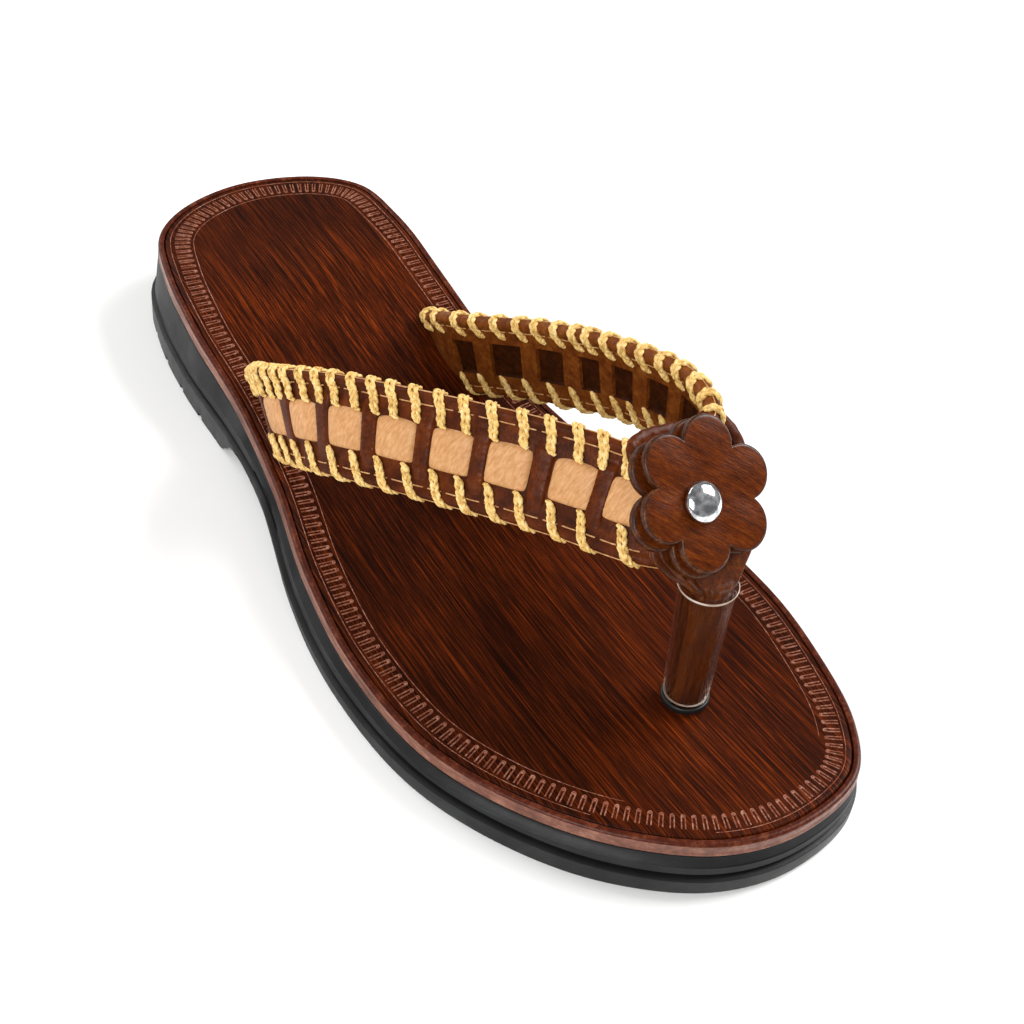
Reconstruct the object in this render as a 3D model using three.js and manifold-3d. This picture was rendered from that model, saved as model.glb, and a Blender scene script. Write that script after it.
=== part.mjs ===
// Kolhapuri sandal for the right foot: a low rubber unit, a wrapped leather footbed with an edge band, two woven
// leather straps that meet over a rolled toe post in a clear sleeve, and a riveted leather flower on the joint.
// Millimetres, +Z up, toe toward -Y, heel toward +Y, +X toward the medial side, where the big toe lies.
import * as THREE from "three";
import { mergeVertices } from "three/addons/utils/BufferGeometryUtils.js";
import Module from "manifold-3d";

const wasm = await Module();
wasm.setup();

// Driving sizes of the last
const footbedLength = 243;
const ballWidth = 94;
const heelHeight = 23.4;
const archLift = 8.2;
const toeSpring = 1.2;
const instepHeight = 60;

// Sizes of the layers
const clearance = 0.3;
const bandHeight = 3.4;
const bandThickness = 1.3;
const footbedDrop = 0.2;
const flareHeel = 3.0;
const flareToeLateral = 3.0;
const flareToeMedial = 0.8;
const treadStep = 0.5;
const soleBevel = 0.6;
const grooveHeight = 1.1;
const grooveDepth = 1.1;
const channelWidth = 2.4;
const channelDepth = 1.6;
const channelPitch = 12.5;
const channelEdge = 9;

// Sizes of the straps and their weave
const strapWidth = 23;
const strapThickness = 2.6;
const edgeRoll = 2.6;
const edgeRollThickness = 3.4;
const weaveHeight = 11;
const weaveLength = 10.2;
const weavePitch = 13.7;
const weaveRaise = 0.7;
const weaveCrown = 0.5;
const windowDepth = 0.8;

// Sizes of the toe post, its sleeve and the flower on the joint
const postBottomRadius = 3.9;
const postTopRadius = 4.9;
const postHeight = 35.7;
const sleeveWall = 0.7;
const sleeveFlare = 0.4;
const seatHeight = 2.2;
const seatWidth = 0.8;
const petalCount = 6;
const petalRadius = 5.6;
const flowerRadius = 15.5;
const flowerThickness = 1.9;
const flowerBevel = 0.4;
const rivetRadius = 3.8;
const rivetDome = 2.0;
const rivetRim = 0.6;
const shankRadius = 1.3;
const shankLength = 7.4;

// The footbed's outline: one row for each station from heel to toe, with along as a share of the footbed's
// length and each side's distance from the centre line as a share of the ball width.
const outlineRows = [
  { along: 0.02, medial: 0.242, lateral: 0.184 },
  { along: 0.06, medial: 0.356, lateral: 0.302 },
  { along: 0.13, medial: 0.38, lateral: 0.358 },
  { along: 0.22, medial: 0.371, lateral: 0.385 },
  { along: 0.34, medial: 0.36, lateral: 0.39 },
  { along: 0.45, medial: 0.362, lateral: 0.425 },
  { along: 0.56, medial: 0.41, lateral: 0.483 },
  { along: 0.67, medial: 0.487, lateral: 0.508 },
  { along: 0.78, medial: 0.506, lateral: 0.477 },
  { along: 0.87, medial: 0.463, lateral: 0.373 },
  { along: 0.94, medial: 0.396, lateral: 0.23 },
  { along: 0.985, medial: 0.296, lateral: 0.068 },
];
const heelTip = { along: 0, medial: 0.02 };
const toeTip = { along: 1, medial: 0.105 };

// The sole's side: the footbed's edge and the groove as shares of the heel height, the arch as a share of its
// lift, and the toe as a share of its spring.
const profileRows = [
  { along: 0, top: 1.01, groove: 0.33, arch: 0, toe: 0 },
  { along: 0.17, top: 0.975, groove: 0.33, arch: 0, toe: 0 },
  { along: 0.25, top: 0.88, groove: 0.325, arch: 0, toe: 0 },
  { along: 0.314, top: 0.785, groove: 0.33, arch: 0, toe: 0 },
  { along: 0.343, top: 0.745, groove: 0.345, arch: 0.68, toe: 0 },
  { along: 0.395, top: 0.69, groove: 0.4, arch: 0.97, toe: 0 },
  { along: 0.435, top: 0.655, groove: 0.425, arch: 1, toe: 0 },
  { along: 0.5, top: 0.605, groove: 0.32, arch: 0.66, toe: 0 },
  { along: 0.555, top: 0.55, groove: 0.19, arch: 0.22, toe: 0 },
  { along: 0.61, top: 0.51, groove: 0.14, arch: 0, toe: 0 },
  { along: 0.66, top: 0.485, groove: 0.15, arch: 0, toe: 0 },
  { along: 0.75, top: 0.475, groove: 0.185, arch: 0, toe: 0 },
  { along: 0.83, top: 0.5, groove: 0.205, arch: 0, toe: 0 },
  { along: 0.9, top: 0.545, groove: 0.22, arch: 0, toe: 0.1 },
  { along: 1, top: 0.61, groove: 0.25, arch: 0, toe: 1 },
];

// The straps' centre lines from root to joint: along as a share of the footbed's length, across as a share of the
// ball width, up as a share of the instep height, and lean as the degrees that the upper edge leans over the foot.
const lateralRows = [
  { along: 0.338, across: -0.313, up: 0.185, lean: -26, width: 1 },
  { along: 0.374, across: -0.359, up: 0.343, lean: -14, width: 1 },
  { along: 0.418, across: -0.377, up: 0.483, lean: 2, width: 1 },
  { along: 0.515, across: -0.32, up: 0.692, lean: 22, width: 1 },
  { along: 0.612, across: -0.184, up: 0.802, lean: 30, width: 1 },
  { along: 0.706, across: -0.031, up: 0.868, lean: 36, width: 1 },
  { along: 0.765, across: 0.05, up: 0.9, lean: 40, width: 0.98 },
  { along: 0.802, across: 0.115, up: 0.92, lean: 43, width: 0.9 },
];
const medialRows = [
  { along: 0.323, across: 0.246, up: 0.18, lean: 19, width: 1 },
  { along: 0.364, across: 0.205, up: 0.323, lean: 17, width: 1 },
  { along: 0.411, across: 0.2, up: 0.447, lean: 12, width: 1 },
  { along: 0.51, across: 0.259, up: 0.655, lean: 10, width: 1 },
  { along: 0.611, across: 0.297, up: 0.845, lean: 14, width: 1 },
  { along: 0.7, across: 0.303, up: 0.96, lean: 12, width: 1 },
  { along: 0.76, across: 0.252, up: 0.995, lean: 18, width: 0.95 },
  { along: 0.79, across: 0.13, up: 1.01, lean: 34, width: 0.85 },
  { along: 0.785, across: 0.03, up: 1.01, lean: 42, width: 0.8 },
];
const lateralPads = { first: 2.1, count: 8 };
const medialPads = { first: 2.1, count: 8 };

// Where the toe post stands, how far its top leans back, and where the straps' joint and the flower lie
const postFoot = { along: 0.844, across: 0.102 };
const postLean = 1.9;
const jointPlace = { along: 0.797, across: 0.1, up: 0.97 };
const flowerPlace = { along: 0.8115, across: 0.102, up: 1.095 };
const flowerTilt = 47;
const flowerYaw = 2;
const frontLayer = { twist: -25, across: 0, up: 0 };
const backLayer = { twist: -22, across: -1.4, up: -0.2 };
const rivetShift = { across: -1.6, up: -1.2 };

// The leather gathered between the sleeve and the straps: share of the way up, and its two half widths
const gatherRows = [
  { share: 0, across: 5.2, deep: 5.0 },
  { share: 0.1, across: 6.2, deep: 5.6 },
  { share: 0.4, across: 10.0, deep: 6.2 },
  { share: 0.7, across: 12.4, deep: 5.6 },
  { share: 1, across: 12.0, deep: 4.8 },
  { share: 1.3, across: 9.0, deep: 3.4 },
  { share: 1.45, across: 6.0, deep: 2.2 },
];

const stationCount = 36;
const curveSteps = 720;
const gatherSides = 16;
const gatherKnee = 7;

// Places along and across the last
function placeAlong(along) {
  return footbedLength * (0.5 - along);
}

function shareAlong(y) {
  return THREE.MathUtils.clamp(0.5 - y / footbedLength, 0, 1);
}

// A smooth curve through the named column of a table, which never overshoots its rows
function columnAt(rows, key, name, at) {
  const count = rows.length;
  const steps = [];
  for (let i = 0; i < count - 1; i++) {
    steps.push((rows[i + 1][name] - rows[i][name]) / (rows[i + 1][key] - rows[i][key]));
  }
  const slope = (i) => {
    if (i === 0 || i === count - 1) return 0;
    const [before, after] = [steps[i - 1], steps[i]];
    return before * after > 0 ? (2 * before * after) / (before + after) : 0;
  };
  if (at <= rows[0][key]) return rows[0][name];
  if (at >= rows[count - 1][key]) return rows[count - 1][name];
  const i = rows.findIndex((row, index) => index < count - 1 && at <= rows[index + 1][key]);
  const width = rows[i + 1][key] - rows[i][key];
  const t = (at - rows[i][key]) / width;
  const rise = rows[i + 1][name] - rows[i][name];
  const start = slope(i) * width;
  const end = slope(i + 1) * width;
  return rows[i][name] + t * start + t * t * (3 * rise - 2 * start - end) + t ** 3 * (start + end - 2 * rise);
}

function topHeight(y) {
  return heelHeight * columnAt(profileRows, "along", "top", shareAlong(y));
}

function bottomHeight(y) {
  const along = shareAlong(y);
  const arch = archLift * columnAt(profileRows, "along", "arch", along);
  return arch + toeSpring * columnAt(profileRows, "along", "toe", along);
}

function grooveHeightAt(y) {
  return heelHeight * columnAt(profileRows, "along", "groove", shareAlong(y));
}

// How far the sole's side stands out at its foot; side goes from 0 at the medial edge to 1 at the lateral one
function flare(y, side) {
  const toe = THREE.MathUtils.lerp(flareToeMedial, flareToeLateral, side);
  return THREE.MathUtils.lerp(flareHeel, toe, shareAlong(y));
}

// The outline as a ring of stations: each medial point faces a lateral point at the same place along the last
function outlineRing() {
  const point = (along, share) => new THREE.Vector3(share * ballWidth, placeAlong(along), 0);
  const medial = outlineRows.map((row) => point(row.along, row.medial));
  const lateral = outlineRows.map((row) => point(row.along, -row.lateral)).reverse();
  const loop = [point(heelTip.along, heelTip.medial), ...medial, point(toeTip.along, toeTip.medial), ...lateral];
  const samples = new THREE.CatmullRomCurve3(loop, true, "centripetal").getSpacedPoints(curveSteps).slice(0, -1);
  const total = samples.length;
  const normals = samples.map((sample, i) => {
    const ahead = samples[(i + 1) % total].clone().sub(samples[(i + total - 1) % total]).normalize();
    return new THREE.Vector3(-ahead.y, ahead.x, 0);
  });
  const rank = samples.map((sample) => sample.y);
  const heel = rank.indexOf(Math.max(...rank));
  const toe = rank.indexOf(Math.min(...rank));
  const side = (from, to) => {
    const found = [];
    for (let i = from; i !== to; i = (i + 1) % total) found.push(i);
    return [...found, to];
  };
  const at = (indices, y) => {
    const below = indices.findIndex((i) => samples[i].y <= y);
    const step = below < 0 ? indices.length - 1 : Math.max(1, below);
    const [a, b] = [indices[step - 1], indices[step]];
    const share = THREE.MathUtils.clamp((samples[a].y - y) / (samples[a].y - samples[b].y || 1), 0, 1);
    const place = samples[a].clone().lerp(samples[b], share);
    const normal = normals[a].clone().lerp(normals[b], share).normalize();
    return { x: place.x, y: place.y, nx: normal.x, ny: normal.y };
  };
  const [high, low] = [rank[heel], rank[toe]];
  const places = [];
  for (let k = 0; k <= stationCount; k++) {
    places.push(high - ((high - low) * (1 - Math.cos((Math.PI * k) / stationCount))) / 2);
  }
  for (const row of profileRows.slice(3, 7)) places.push(placeAlong(row.along));
  places.sort((a, b) => b - a);
  const stations = places.filter((y, k) => k === 0 || places[k - 1] - y > 0.2);
  const medialSide = side(heel, toe);
  const lateralSide = side(toe, heel).reverse();
  const ring = stations.map((y) => at(medialSide, y));
  const back = stations.slice(1, -1).map((y) => at(lateralSide, y));
  return { points: [...ring, ...back.reverse()], last: stations.length - 1 };
}

const outline = outlineRing();

// Solids from points and triangles, always facing out
function solidOf(points, faces) {
  const volume = faces.reduce((sum, face) => {
    const [a, b, c] = face.map((index) => points[index]);
    return sum + a.dot(new THREE.Vector3().crossVectors(b, c));
  }, 0);
  const order = volume < 0 ? faces.map(([a, b, c]) => [a, c, b]) : faces;
  const vertProperties = new Float32Array(points.flatMap((point) => point.toArray()));
  return new wasm.Manifold(
    new wasm.Mesh({ numProp: 3, vertProperties, triVerts: new Uint32Array(order.flat()) }),
  );
}

function solidOfGeometry(geometry) {
  const bare = geometry.index ? geometry.toNonIndexed() : geometry.clone();
  bare.deleteAttribute("normal");
  bare.deleteAttribute("uv");
  const merged = mergeVertices(bare, 1e-4);
  const triVerts = new Uint32Array(merged.index.array);
  return new wasm.Manifold(
    new wasm.Mesh({ numProp: 3, vertProperties: merged.attributes.position.array, triVerts }),
  );
}

function geometryOf(solid) {
  const mesh = solid.getMesh();
  const geometry = new THREE.BufferGeometry();
  geometry.setAttribute("position", new THREE.BufferAttribute(mesh.vertProperties, mesh.numProp));
  geometry.setIndex(new THREE.BufferAttribute(mesh.triVerts, 1));
  geometry.computeVertexNormals();
  return geometry;
}

// One row of the outline, moved out by a distance and lifted to a height
function outlineRow(out, height) {
  return outline.points.map((p) => {
    const distance = out(p.y, (1 - p.nx) / 2);
    return new THREE.Vector3(p.x + p.nx * distance, p.y + p.ny * distance, height(p.y));
  });
}

function wallFaces(rowCount, size, closed) {
  const faces = [];
  for (let row = 0; row < (closed ? rowCount : rowCount - 1); row++) {
    for (let i = 0; i < size; i++) {
      const next = (i + 1) % size;
      const above = (row + 1) % rowCount;
      faces.push([row * size + i, above * size + i, row * size + next]);
      faces.push([above * size + i, above * size + next, row * size + next]);
    }
  }
  return faces;
}

// Strips across the last that close a row of the outline, from the first medial station to the last
function capFaces(base, size, last, up) {
  const faces = [];
  for (let k = 0; k < last; k++) {
    const [m, n] = [k, k + 1];
    const [l, o] = [(size - k) % size, size - k - 1];
    if (m !== l) faces.push([m, l, n]);
    if (n !== o) faces.push([l, o, n]);
  }
  return faces.map(([a, b, c]) => (up ? [a + base, b + base, c + base] : [a + base, c + base, b + base]));
}

function slab(rows) {
  const size = outline.points.length;
  const points = rows.flatMap((row) => outlineRow(row.out, row.height));
  const top = capFaces((rows.length - 1) * size, size, outline.last, true);
  const bottom = capFaces(0, size, outline.last, false);
  return solidOf(points, [...wallFaces(rows.length, size, false), ...top, ...bottom]);
}

function hoop(rows) {
  const points = rows.flatMap((row) => outlineRow(row.out, row.height));
  return solidOf(points, wallFaces(rows.length, outline.points.length, true));
}

function lofted(rings, section) {
  const size = section.length;
  const cap = THREE.ShapeUtils.triangulateShape(section, []);
  const base = (rings.length - 1) * size;
  const start = cap.map(([a, b, c]) => [a, b, c]);
  const end = cap.map(([a, b, c]) => [a + base, c + base, b + base]);
  const walls = wallFaces(rings.length, size, false);
  const faces = walls.map(([a, b, c]) => [a, c, b]);
  return solidOf(rings.flat(), THREE.ShapeUtils.isClockWise(section) ? [...walls, ...start, ...end] : [
    ...faces,
    ...start.map(([a, b, c]) => [a, c, b]),
    ...end.map(([a, b, c]) => [a, c, b]),
  ]);
}

// The rubber unit
function treadChannels() {
  const cuts = [];
  const channel = (y, from, to) => {
    const box = new THREE.BoxGeometry(to - from, channelWidth, 2 * channelDepth);
    box.translate((from + to) / 2, y, bottomHeight(y));
    cuts.push(solidOfGeometry(box));
  };
  const breast = placeAlong(profileRows[3].along);
  const heelEnd = placeAlong(0);
  for (let y = breast + channelPitch; y < heelEnd - channelPitch / 2; y += channelPitch) {
    channel(y, -ballWidth, ballWidth);
  }
  const ball = placeAlong(profileRows[9].along);
  const toe = placeAlong(profileRows[13].along);
  for (let y = ball - channelPitch / 2; y > toe; y -= channelPitch) {
    const near = outline.points.filter((p) => Math.abs(p.y - y) < channelPitch);
    const medial = Math.min(...near.filter((p) => p.x > 0).map((p) => p.x));
    const lateral = Math.max(...near.filter((p) => p.x < 0).map((p) => p.x));
    channel(y, lateral + channelEdge, medial - channelEdge);
  }
  return cuts;
}

function outsole() {
  const tread = (y, side) => flare(y, side) + treadStep;
  const rim = (share) => (y, side) => flare(y, side) * share;
  const lip = (y) => grooveHeightAt(y);
  const seat = (y) => topHeight(y) - bandHeight - clearance;
  const body = slab([
    { out: (y, side) => tread(y, side) - soleBevel, height: bottomHeight },
    { out: tread, height: (y) => bottomHeight(y) + soleBevel },
    { out: (y, side) => tread(y, side) - 0.15, height: (y) => lip(y) - grooveHeight / 2 },
    { out: (y, side) => rim(0.8)(y, side) - grooveDepth, height: (y) => lip(y) - grooveHeight / 2 },
    { out: (y, side) => rim(0.75)(y, side) - grooveDepth, height: (y) => lip(y) + grooveHeight / 2 },
    { out: rim(0.75), height: (y) => lip(y) + grooveHeight / 2 },
    { out: rim(0.2), height: (y) => seat(y) - soleBevel },
    { out: (y, side) => rim(0.2)(y, side) - soleBevel, height: seat },
  ]);
  return body.subtract(wasm.Manifold.union(treadChannels()));
}

// The edge band round the footbed, with a bead along its foot and a rounded ridge on top
function edgeBand() {
  const drop = (amount) => (y) => topHeight(y) - amount;
  const out = (distance) => () => distance;
  return hoop([
    { out: out(-bandThickness), height: drop(bandHeight) },
    { out: out(0.3), height: drop(bandHeight) },
    { out: out(0.5), height: drop(bandHeight * 0.88) },
    { out: out(0.25), height: drop(bandHeight * 0.72) },
    { out: out(0.3), height: drop(bandHeight * 0.25) },
    { out: out(0), height: drop(bandHeight * 0.05) },
    { out: out(-bandThickness * 0.4), height: drop(0) },
    { out: out(-bandThickness), height: drop(footbedDrop) },
  ]);
}

// The footbed, with slots for the straps and a hole for the toe post
function footbedBlank() {
  const inset = -(bandThickness + clearance);
  return slab([
    { out: () => inset, height: (y) => topHeight(y) - bandHeight },
    { out: () => inset, height: (y) => topHeight(y) - footbedDrop - 0.5 },
    { out: () => inset - 0.5, height: (y) => topHeight(y) - footbedDrop },
  ]);
}

// The straps: a ribbon's frame along its centre line
function ribbon(rows, inward) {
  const places = rows.map(
    (row) => new THREE.Vector3(row.across * ballWidth, placeAlong(row.along), row.up * instepHeight),
  );
  const curve = new THREE.CatmullRomCurve3(places, false, "centripetal");
  curve.arcLengthDivisions = 400;
  const length = curve.getLength();
  const turns = rows.map((row, i) => ({ at: i / (rows.length - 1), lean: row.lean, width: row.width }));
  const frame = (distance) => {
    const u = THREE.MathUtils.clamp(distance / length, 0, 1);
    const place = curve.getPointAt(u);
    const ahead = curve.getTangentAt(u);
    const up = new THREE.Vector3(0, 0, 1).addScaledVector(ahead, -ahead.z).normalize();
    const over = new THREE.Vector3().crossVectors(up, ahead).multiplyScalar(inward);
    const share = curve.getUtoTmapping(u);
    const lean = THREE.MathUtils.degToRad(columnAt(turns, "at", "lean", share));
    const width = columnAt(turns, "at", "width", share);
    const wide = up.clone().multiplyScalar(Math.cos(lean)).addScaledVector(over, Math.sin(lean));
    const face = new THREE.Vector3().crossVectors(ahead, wide).multiplyScalar(inward);
    return { place, wide, face, width };
  };
  return { length, frame };
}

// A strap's section: across is the way from the lower edge to the upper one, and deep the way out of its face
function strapSection(raised, grow) {
  const half = strapWidth / 2 + grow;
  const wall = strapThickness / 2 + grow;
  const roll = edgeRollThickness / 2 + grow;
  const pad = weaveHeight / 2;
  const raise = raised ? weaveRaise : 0;
  const sink = raised ? windowDepth : 0;
  const outer = [
    { across: half, deep: 0 },
    { across: half - edgeRoll * 0.25, deep: roll * 0.85 },
    { across: half - edgeRoll * 0.6, deep: roll },
    { across: half - edgeRoll, deep: wall },
    { across: pad + 0.6, deep: wall },
    { across: pad - 0.2, deep: wall + raise },
    { across: 0, deep: wall + raise + (raised ? weaveCrown : 0) },
  ];
  const inner = [
    { across: 0, deep: -wall + sink },
    { across: pad - 0.2, deep: -wall + sink },
    { across: pad, deep: -wall },
    { across: half - edgeRoll, deep: -wall },
    { across: half - edgeRoll * 0.6, deep: -roll },
    { across: half - edgeRoll * 0.25, deep: -roll * 0.85 },
  ];
  const mirrored = (list) => list.map((p) => ({ across: -p.across, deep: p.deep })).reverse();
  return [...outer, ...mirrored(outer).slice(1), ...mirrored(inner).slice(0, -1), ...inner];
}

function strapSolid(rows, inward, pads, grow) {
  const { length, frame } = ribbon(rows, inward);
  const stops = [{ at: 0, raised: false }];
  const corner = 1;
  for (let pad = 0; pad < pads.count; pad++) {
    const middle = (pads.first + pad) * weavePitch;
    for (const [offset, raised] of [
      [-weaveLength / 2, false],
      [-weaveLength / 2 + corner, true],
      [weaveLength / 2 - corner, true],
      [weaveLength / 2, false],
    ]) {
      const at = middle + offset;
      if (at < length - corner) stops.push({ at, raised: raised && grow === 0 });
    }
  }
  stops.splice(1, 0, { at: weavePitch * 0.5, raised: false }, { at: weavePitch, raised: false });
  stops.push({ at: length, raised: false });
  const rings = stops.map(({ at, raised }) => {
    const { place, wide, face, width } = frame(at);
    return strapSection(raised, grow).map((p) =>
      place.clone().addScaledVector(wide, p.across * width).addScaledVector(face, p.deep),
    );
  });
  const section = strapSection(false, grow).map((p) => new THREE.Vector2(p.across, p.deep));
  return lofted(rings, section);
}

// The toe post's foot, top and joint
const foot = new THREE.Vector3(postFoot.across * ballWidth, placeAlong(postFoot.along), 0);
foot.z = topHeight(foot.y) - footbedDrop;
const crest = foot.clone().add(new THREE.Vector3(0, postLean, postHeight));
const joint = new THREE.Vector3(
  jointPlace.across * ballWidth,
  placeAlong(jointPlace.along),
  jointPlace.up * instepHeight,
);
const flowerCentre = new THREE.Vector3(
  flowerPlace.across * ballWidth,
  placeAlong(flowerPlace.along),
  flowerPlace.up * instepHeight,
);

function gather() {
  const start = crest.clone().addScaledVector(postAxis, clearance);
  const knee = crest.clone().addScaledVector(postAxis, gatherKnee);
  const beyond = joint.clone().multiplyScalar(2).sub(knee);
  const curve = new THREE.QuadraticBezierCurve3(start, knee, joint);
  const rings = gatherRows.map((row) => {
    const share = Math.min(row.share, 1);
    const place = curve.getPoint(share);
    const ahead = curve.getTangent(share);
    if (row.share > 1) place.addScaledVector(beyond.clone().sub(joint), row.share - 1);
    const across = new THREE.Vector3(1, 0, 0).addScaledVector(ahead, -ahead.x).normalize();
    const deep = new THREE.Vector3().crossVectors(ahead, across);
    return circle(gatherSides).map((p) =>
      place.clone().addScaledVector(across, p.x * row.across).addScaledVector(deep, p.y * row.deep),
    );
  });
  return lofted(rings, circle(gatherSides));
}

function circle(sides) {
  return Array.from({ length: sides }, (_, i) => {
    const angle = (2 * Math.PI * i) / sides;
    return new THREE.Vector2(Math.cos(angle), Math.sin(angle));
  });
}

// A ring or rod turned round the line from one point toward another
function turned(profile, from, toward, sides) {
  const geometry = new THREE.LatheGeometry(profile.map(([r, h]) => new THREE.Vector2(r, h)), sides);
  const axis = toward.clone().sub(from).normalize();
  geometry.applyQuaternion(new THREE.Quaternion().setFromUnitVectors(new THREE.Vector3(0, 1, 0), axis));
  geometry.translate(from.x, from.y, from.z);
  return solidOfGeometry(geometry);
}

const postAxis = crest.clone().sub(foot).normalize();
const postLength = crest.distanceTo(foot);
const postRoot = foot.clone().addScaledVector(postAxis, -(bandHeight - footbedDrop));

function postRadius(share) {
  return THREE.MathUtils.lerp(postBottomRadius, postTopRadius, share);
}

function toePost(grow = 0) {
  const root = bandHeight - footbedDrop;
  const r = (share) => postRadius(share) + grow;
  const end = 2 * grow;
  return turned(
    [
      [0, -end],
      [r(0) - 0.4, -end],
      [r(0), 0.4],
      [r(0), root],
      [r(1), root + postLength - 1],
      [r(1) - 0.5, root + postLength],
      [0, root + postLength],
    ],
    postRoot,
    crest,
    24,
  );
}

function postSleeve() {
  const start = seatHeight + 2 * clearance;
  const inside = (share) => postRadius(share) + clearance;
  const outside = (share) => inside(share) + sleeveWall;
  const rim = postLength - 1;
  return turned(
    [
      [inside(0.08), start],
      [outside(0.05), start],
      [outside(0.1), start + 1.2],
      [outside(0.9), rim - 3],
      [outside(1) + sleeveFlare, rim],
      [inside(1) + sleeveFlare * 0.5, rim],
      [inside(0.9), rim - 3],
      [inside(0.08), start],
    ],
    foot,
    crest,
    24,
  );
}

function postSeat() {
  const inside = postBottomRadius + 2 * clearance;
  const outside = inside + seatWidth;
  const level = 2 * clearance;
  return turned(
    [
      [inside, level],
      [outside - 0.3, level],
      [outside, level + 0.6],
      [outside - 0.3, seatHeight - 0.4],
      [outside - 0.8, seatHeight],
      [inside, seatHeight],
      [inside, level],
    ],
    foot,
    crest,
    24,
  );
}

// The flower's frame: its face looks forward and up
const flowerFrame = new THREE.Quaternion().setFromEuler(
  new THREE.Euler(THREE.MathUtils.degToRad(90 - flowerTilt), 0, THREE.MathUtils.degToRad(flowerYaw), "ZXY"),
);
const flowerNormal = new THREE.Vector3(0, 0, 1).applyQuaternion(flowerFrame);

const flowerStack = 2 * flowerThickness + clearance;
const rivetPlace = flowerCentre
  .clone()
  .add(new THREE.Vector3(rivetShift.across, rivetShift.up, 0).applyQuaternion(flowerFrame));

// A ring of round petals, each an arc from one notch to the next
function flowerShape() {
  const ring = flowerRadius - petalRadius;
  const half = Math.PI / petalCount;
  const notch = ring * Math.cos(half) + Math.sqrt(petalRadius ** 2 - (ring * Math.sin(half)) ** 2);
  const shape = new THREE.Shape();
  for (let petal = 0; petal < petalCount; petal++) {
    const angle = Math.PI / 2 + petal * 2 * half;
    const centre = new THREE.Vector2(Math.cos(angle), Math.sin(angle)).multiplyScalar(ring);
    const start = new THREE.Vector2(Math.cos(angle - half), Math.sin(angle - half)).multiplyScalar(notch);
    const end = new THREE.Vector2(Math.cos(angle + half), Math.sin(angle + half)).multiplyScalar(notch);
    const from = Math.atan2(start.y - centre.y, start.x - centre.x);
    const to = Math.atan2(end.y - centre.y, end.x - centre.x);
    shape.absarc(centre.x, centre.y, petalRadius, from, to, false);
  }
  return shape;
}

function flowerLayer(level, layer) {
  const geometry = new THREE.ExtrudeGeometry(flowerShape(), {
    depth: flowerThickness - 2 * flowerBevel,
    bevelEnabled: true,
    bevelSize: flowerBevel,
    bevelThickness: flowerBevel,
    bevelOffset: -flowerBevel,
    bevelSegments: 1,
    curveSegments: 8,
  });
  geometry.rotateZ(THREE.MathUtils.degToRad(layer.twist));
  geometry.translate(layer.across, layer.up, flowerBevel - level);
  geometry.applyQuaternion(flowerFrame);
  geometry.translate(flowerCentre.x, flowerCentre.y, flowerCentre.z);
  return solidOfGeometry(geometry).subtract(rivet(clearance));
}

function rivet(grow = 0) {
  const r = shankRadius + grow;
  const seat = clearance - grow;
  return turned(
    [
      [0, -shankLength - grow],
      [r, -shankLength - grow],
      [r, seat],
      [rivetRadius, seat],
      [rivetRadius, seat + rivetRim],
      [rivetRadius * 0.92, seat + rivetRim + rivetDome * 0.35],
      [rivetRadius * 0.7, seat + rivetRim + rivetDome * 0.75],
      [rivetRadius * 0.36, seat + rivetRim + rivetDome * 0.96],
      [0, seat + rivetRim + rivetDome],
    ],
    rivetPlace,
    rivetPlace.clone().add(flowerNormal),
    20,
  );
}

// The upper: both straps and the gathered leather in one, trimmed where it would meet the rubber unit
function upper() {
  const straps = strapSolid(lateralRows, 1, lateralPads, 0).add(strapSolid(medialRows, -1, medialPads, 0));
  const below = slab([
    { out: () => 20, height: () => -20 },
    { out: () => 20, height: (y) => topHeight(y) - bandHeight },
  ]);
  const level = flowerStack + clearance;
  const front = turned(
    [
      [0, -level],
      [flowerRadius + 2.5, -level],
      [flowerRadius + 2.5, flowerRadius],
      [0, flowerRadius],
    ],
    flowerCentre,
    flowerCentre.clone().add(flowerNormal),
    36,
  );
  return straps.add(gather()).subtract(below).subtract(front).subtract(rivet(clearance));
}

function footbed() {
  const slots = strapSolid(lateralRows, 1, lateralPads, clearance).add(
    strapSolid(medialRows, -1, medialPads, clearance),
  );
  return footbedBlank().subtract(slots).subtract(toePost(clearance));
}

// The finished pieces
const finishes = {
  rubber: { color: 0x2b2b2d, roughness: 0.75, metalness: 0 },
  cover: { color: 0x541f0c, roughness: 0.3, metalness: 0 },
  band: { color: 0xa5694b, roughness: 0.4, metalness: 0 },
  strap: { color: 0x4b2718, roughness: 0.5, metalness: 0 },
  post: { color: 0x50280f, roughness: 0.4, metalness: 0 },
  clear: { color: 0xdedede, roughness: 0.08, metalness: 0, transparent: true, opacity: 0.35 },
  seat: { color: 0x151515, roughness: 0.5, metalness: 0 },
  petal: { color: 0x6b3215, roughness: 0.35, metalness: 0 },
  chrome: { color: 0xd8d8da, roughness: 0.15, metalness: 1 },
};

const sandal = new THREE.Group();

function piece(name, solid, finish) {
  const mesh = new THREE.Mesh(geometryOf(solid), new THREE.MeshStandardMaterial(finishes[finish]));
  mesh.name = name;
  sandal.add(mesh);
}

piece("outsole", outsole(), "rubber");
piece("footbed", footbed(), "cover");
piece("edge_band", edgeBand(), "band");
piece("upper", upper(), "strap");
piece("toe_post", toePost(), "post");
piece("post_sleeve", postSleeve(), "clear");
piece("post_seat", postSeat(), "seat");
piece("flower_back", flowerLayer(flowerStack, backLayer), "petal");
piece("flower_front", flowerLayer(flowerThickness, frontLayer), "petal");
piece("rivet", rivet(), "chrome");

// The origin is under the middle of the whole sandal's box
const box = new THREE.Box3().setFromObject(sandal);
const middle = box.getCenter(new THREE.Vector3());
sandal.position.set(-middle.x, -middle.y, -box.min.z);

export default sandal;
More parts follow.
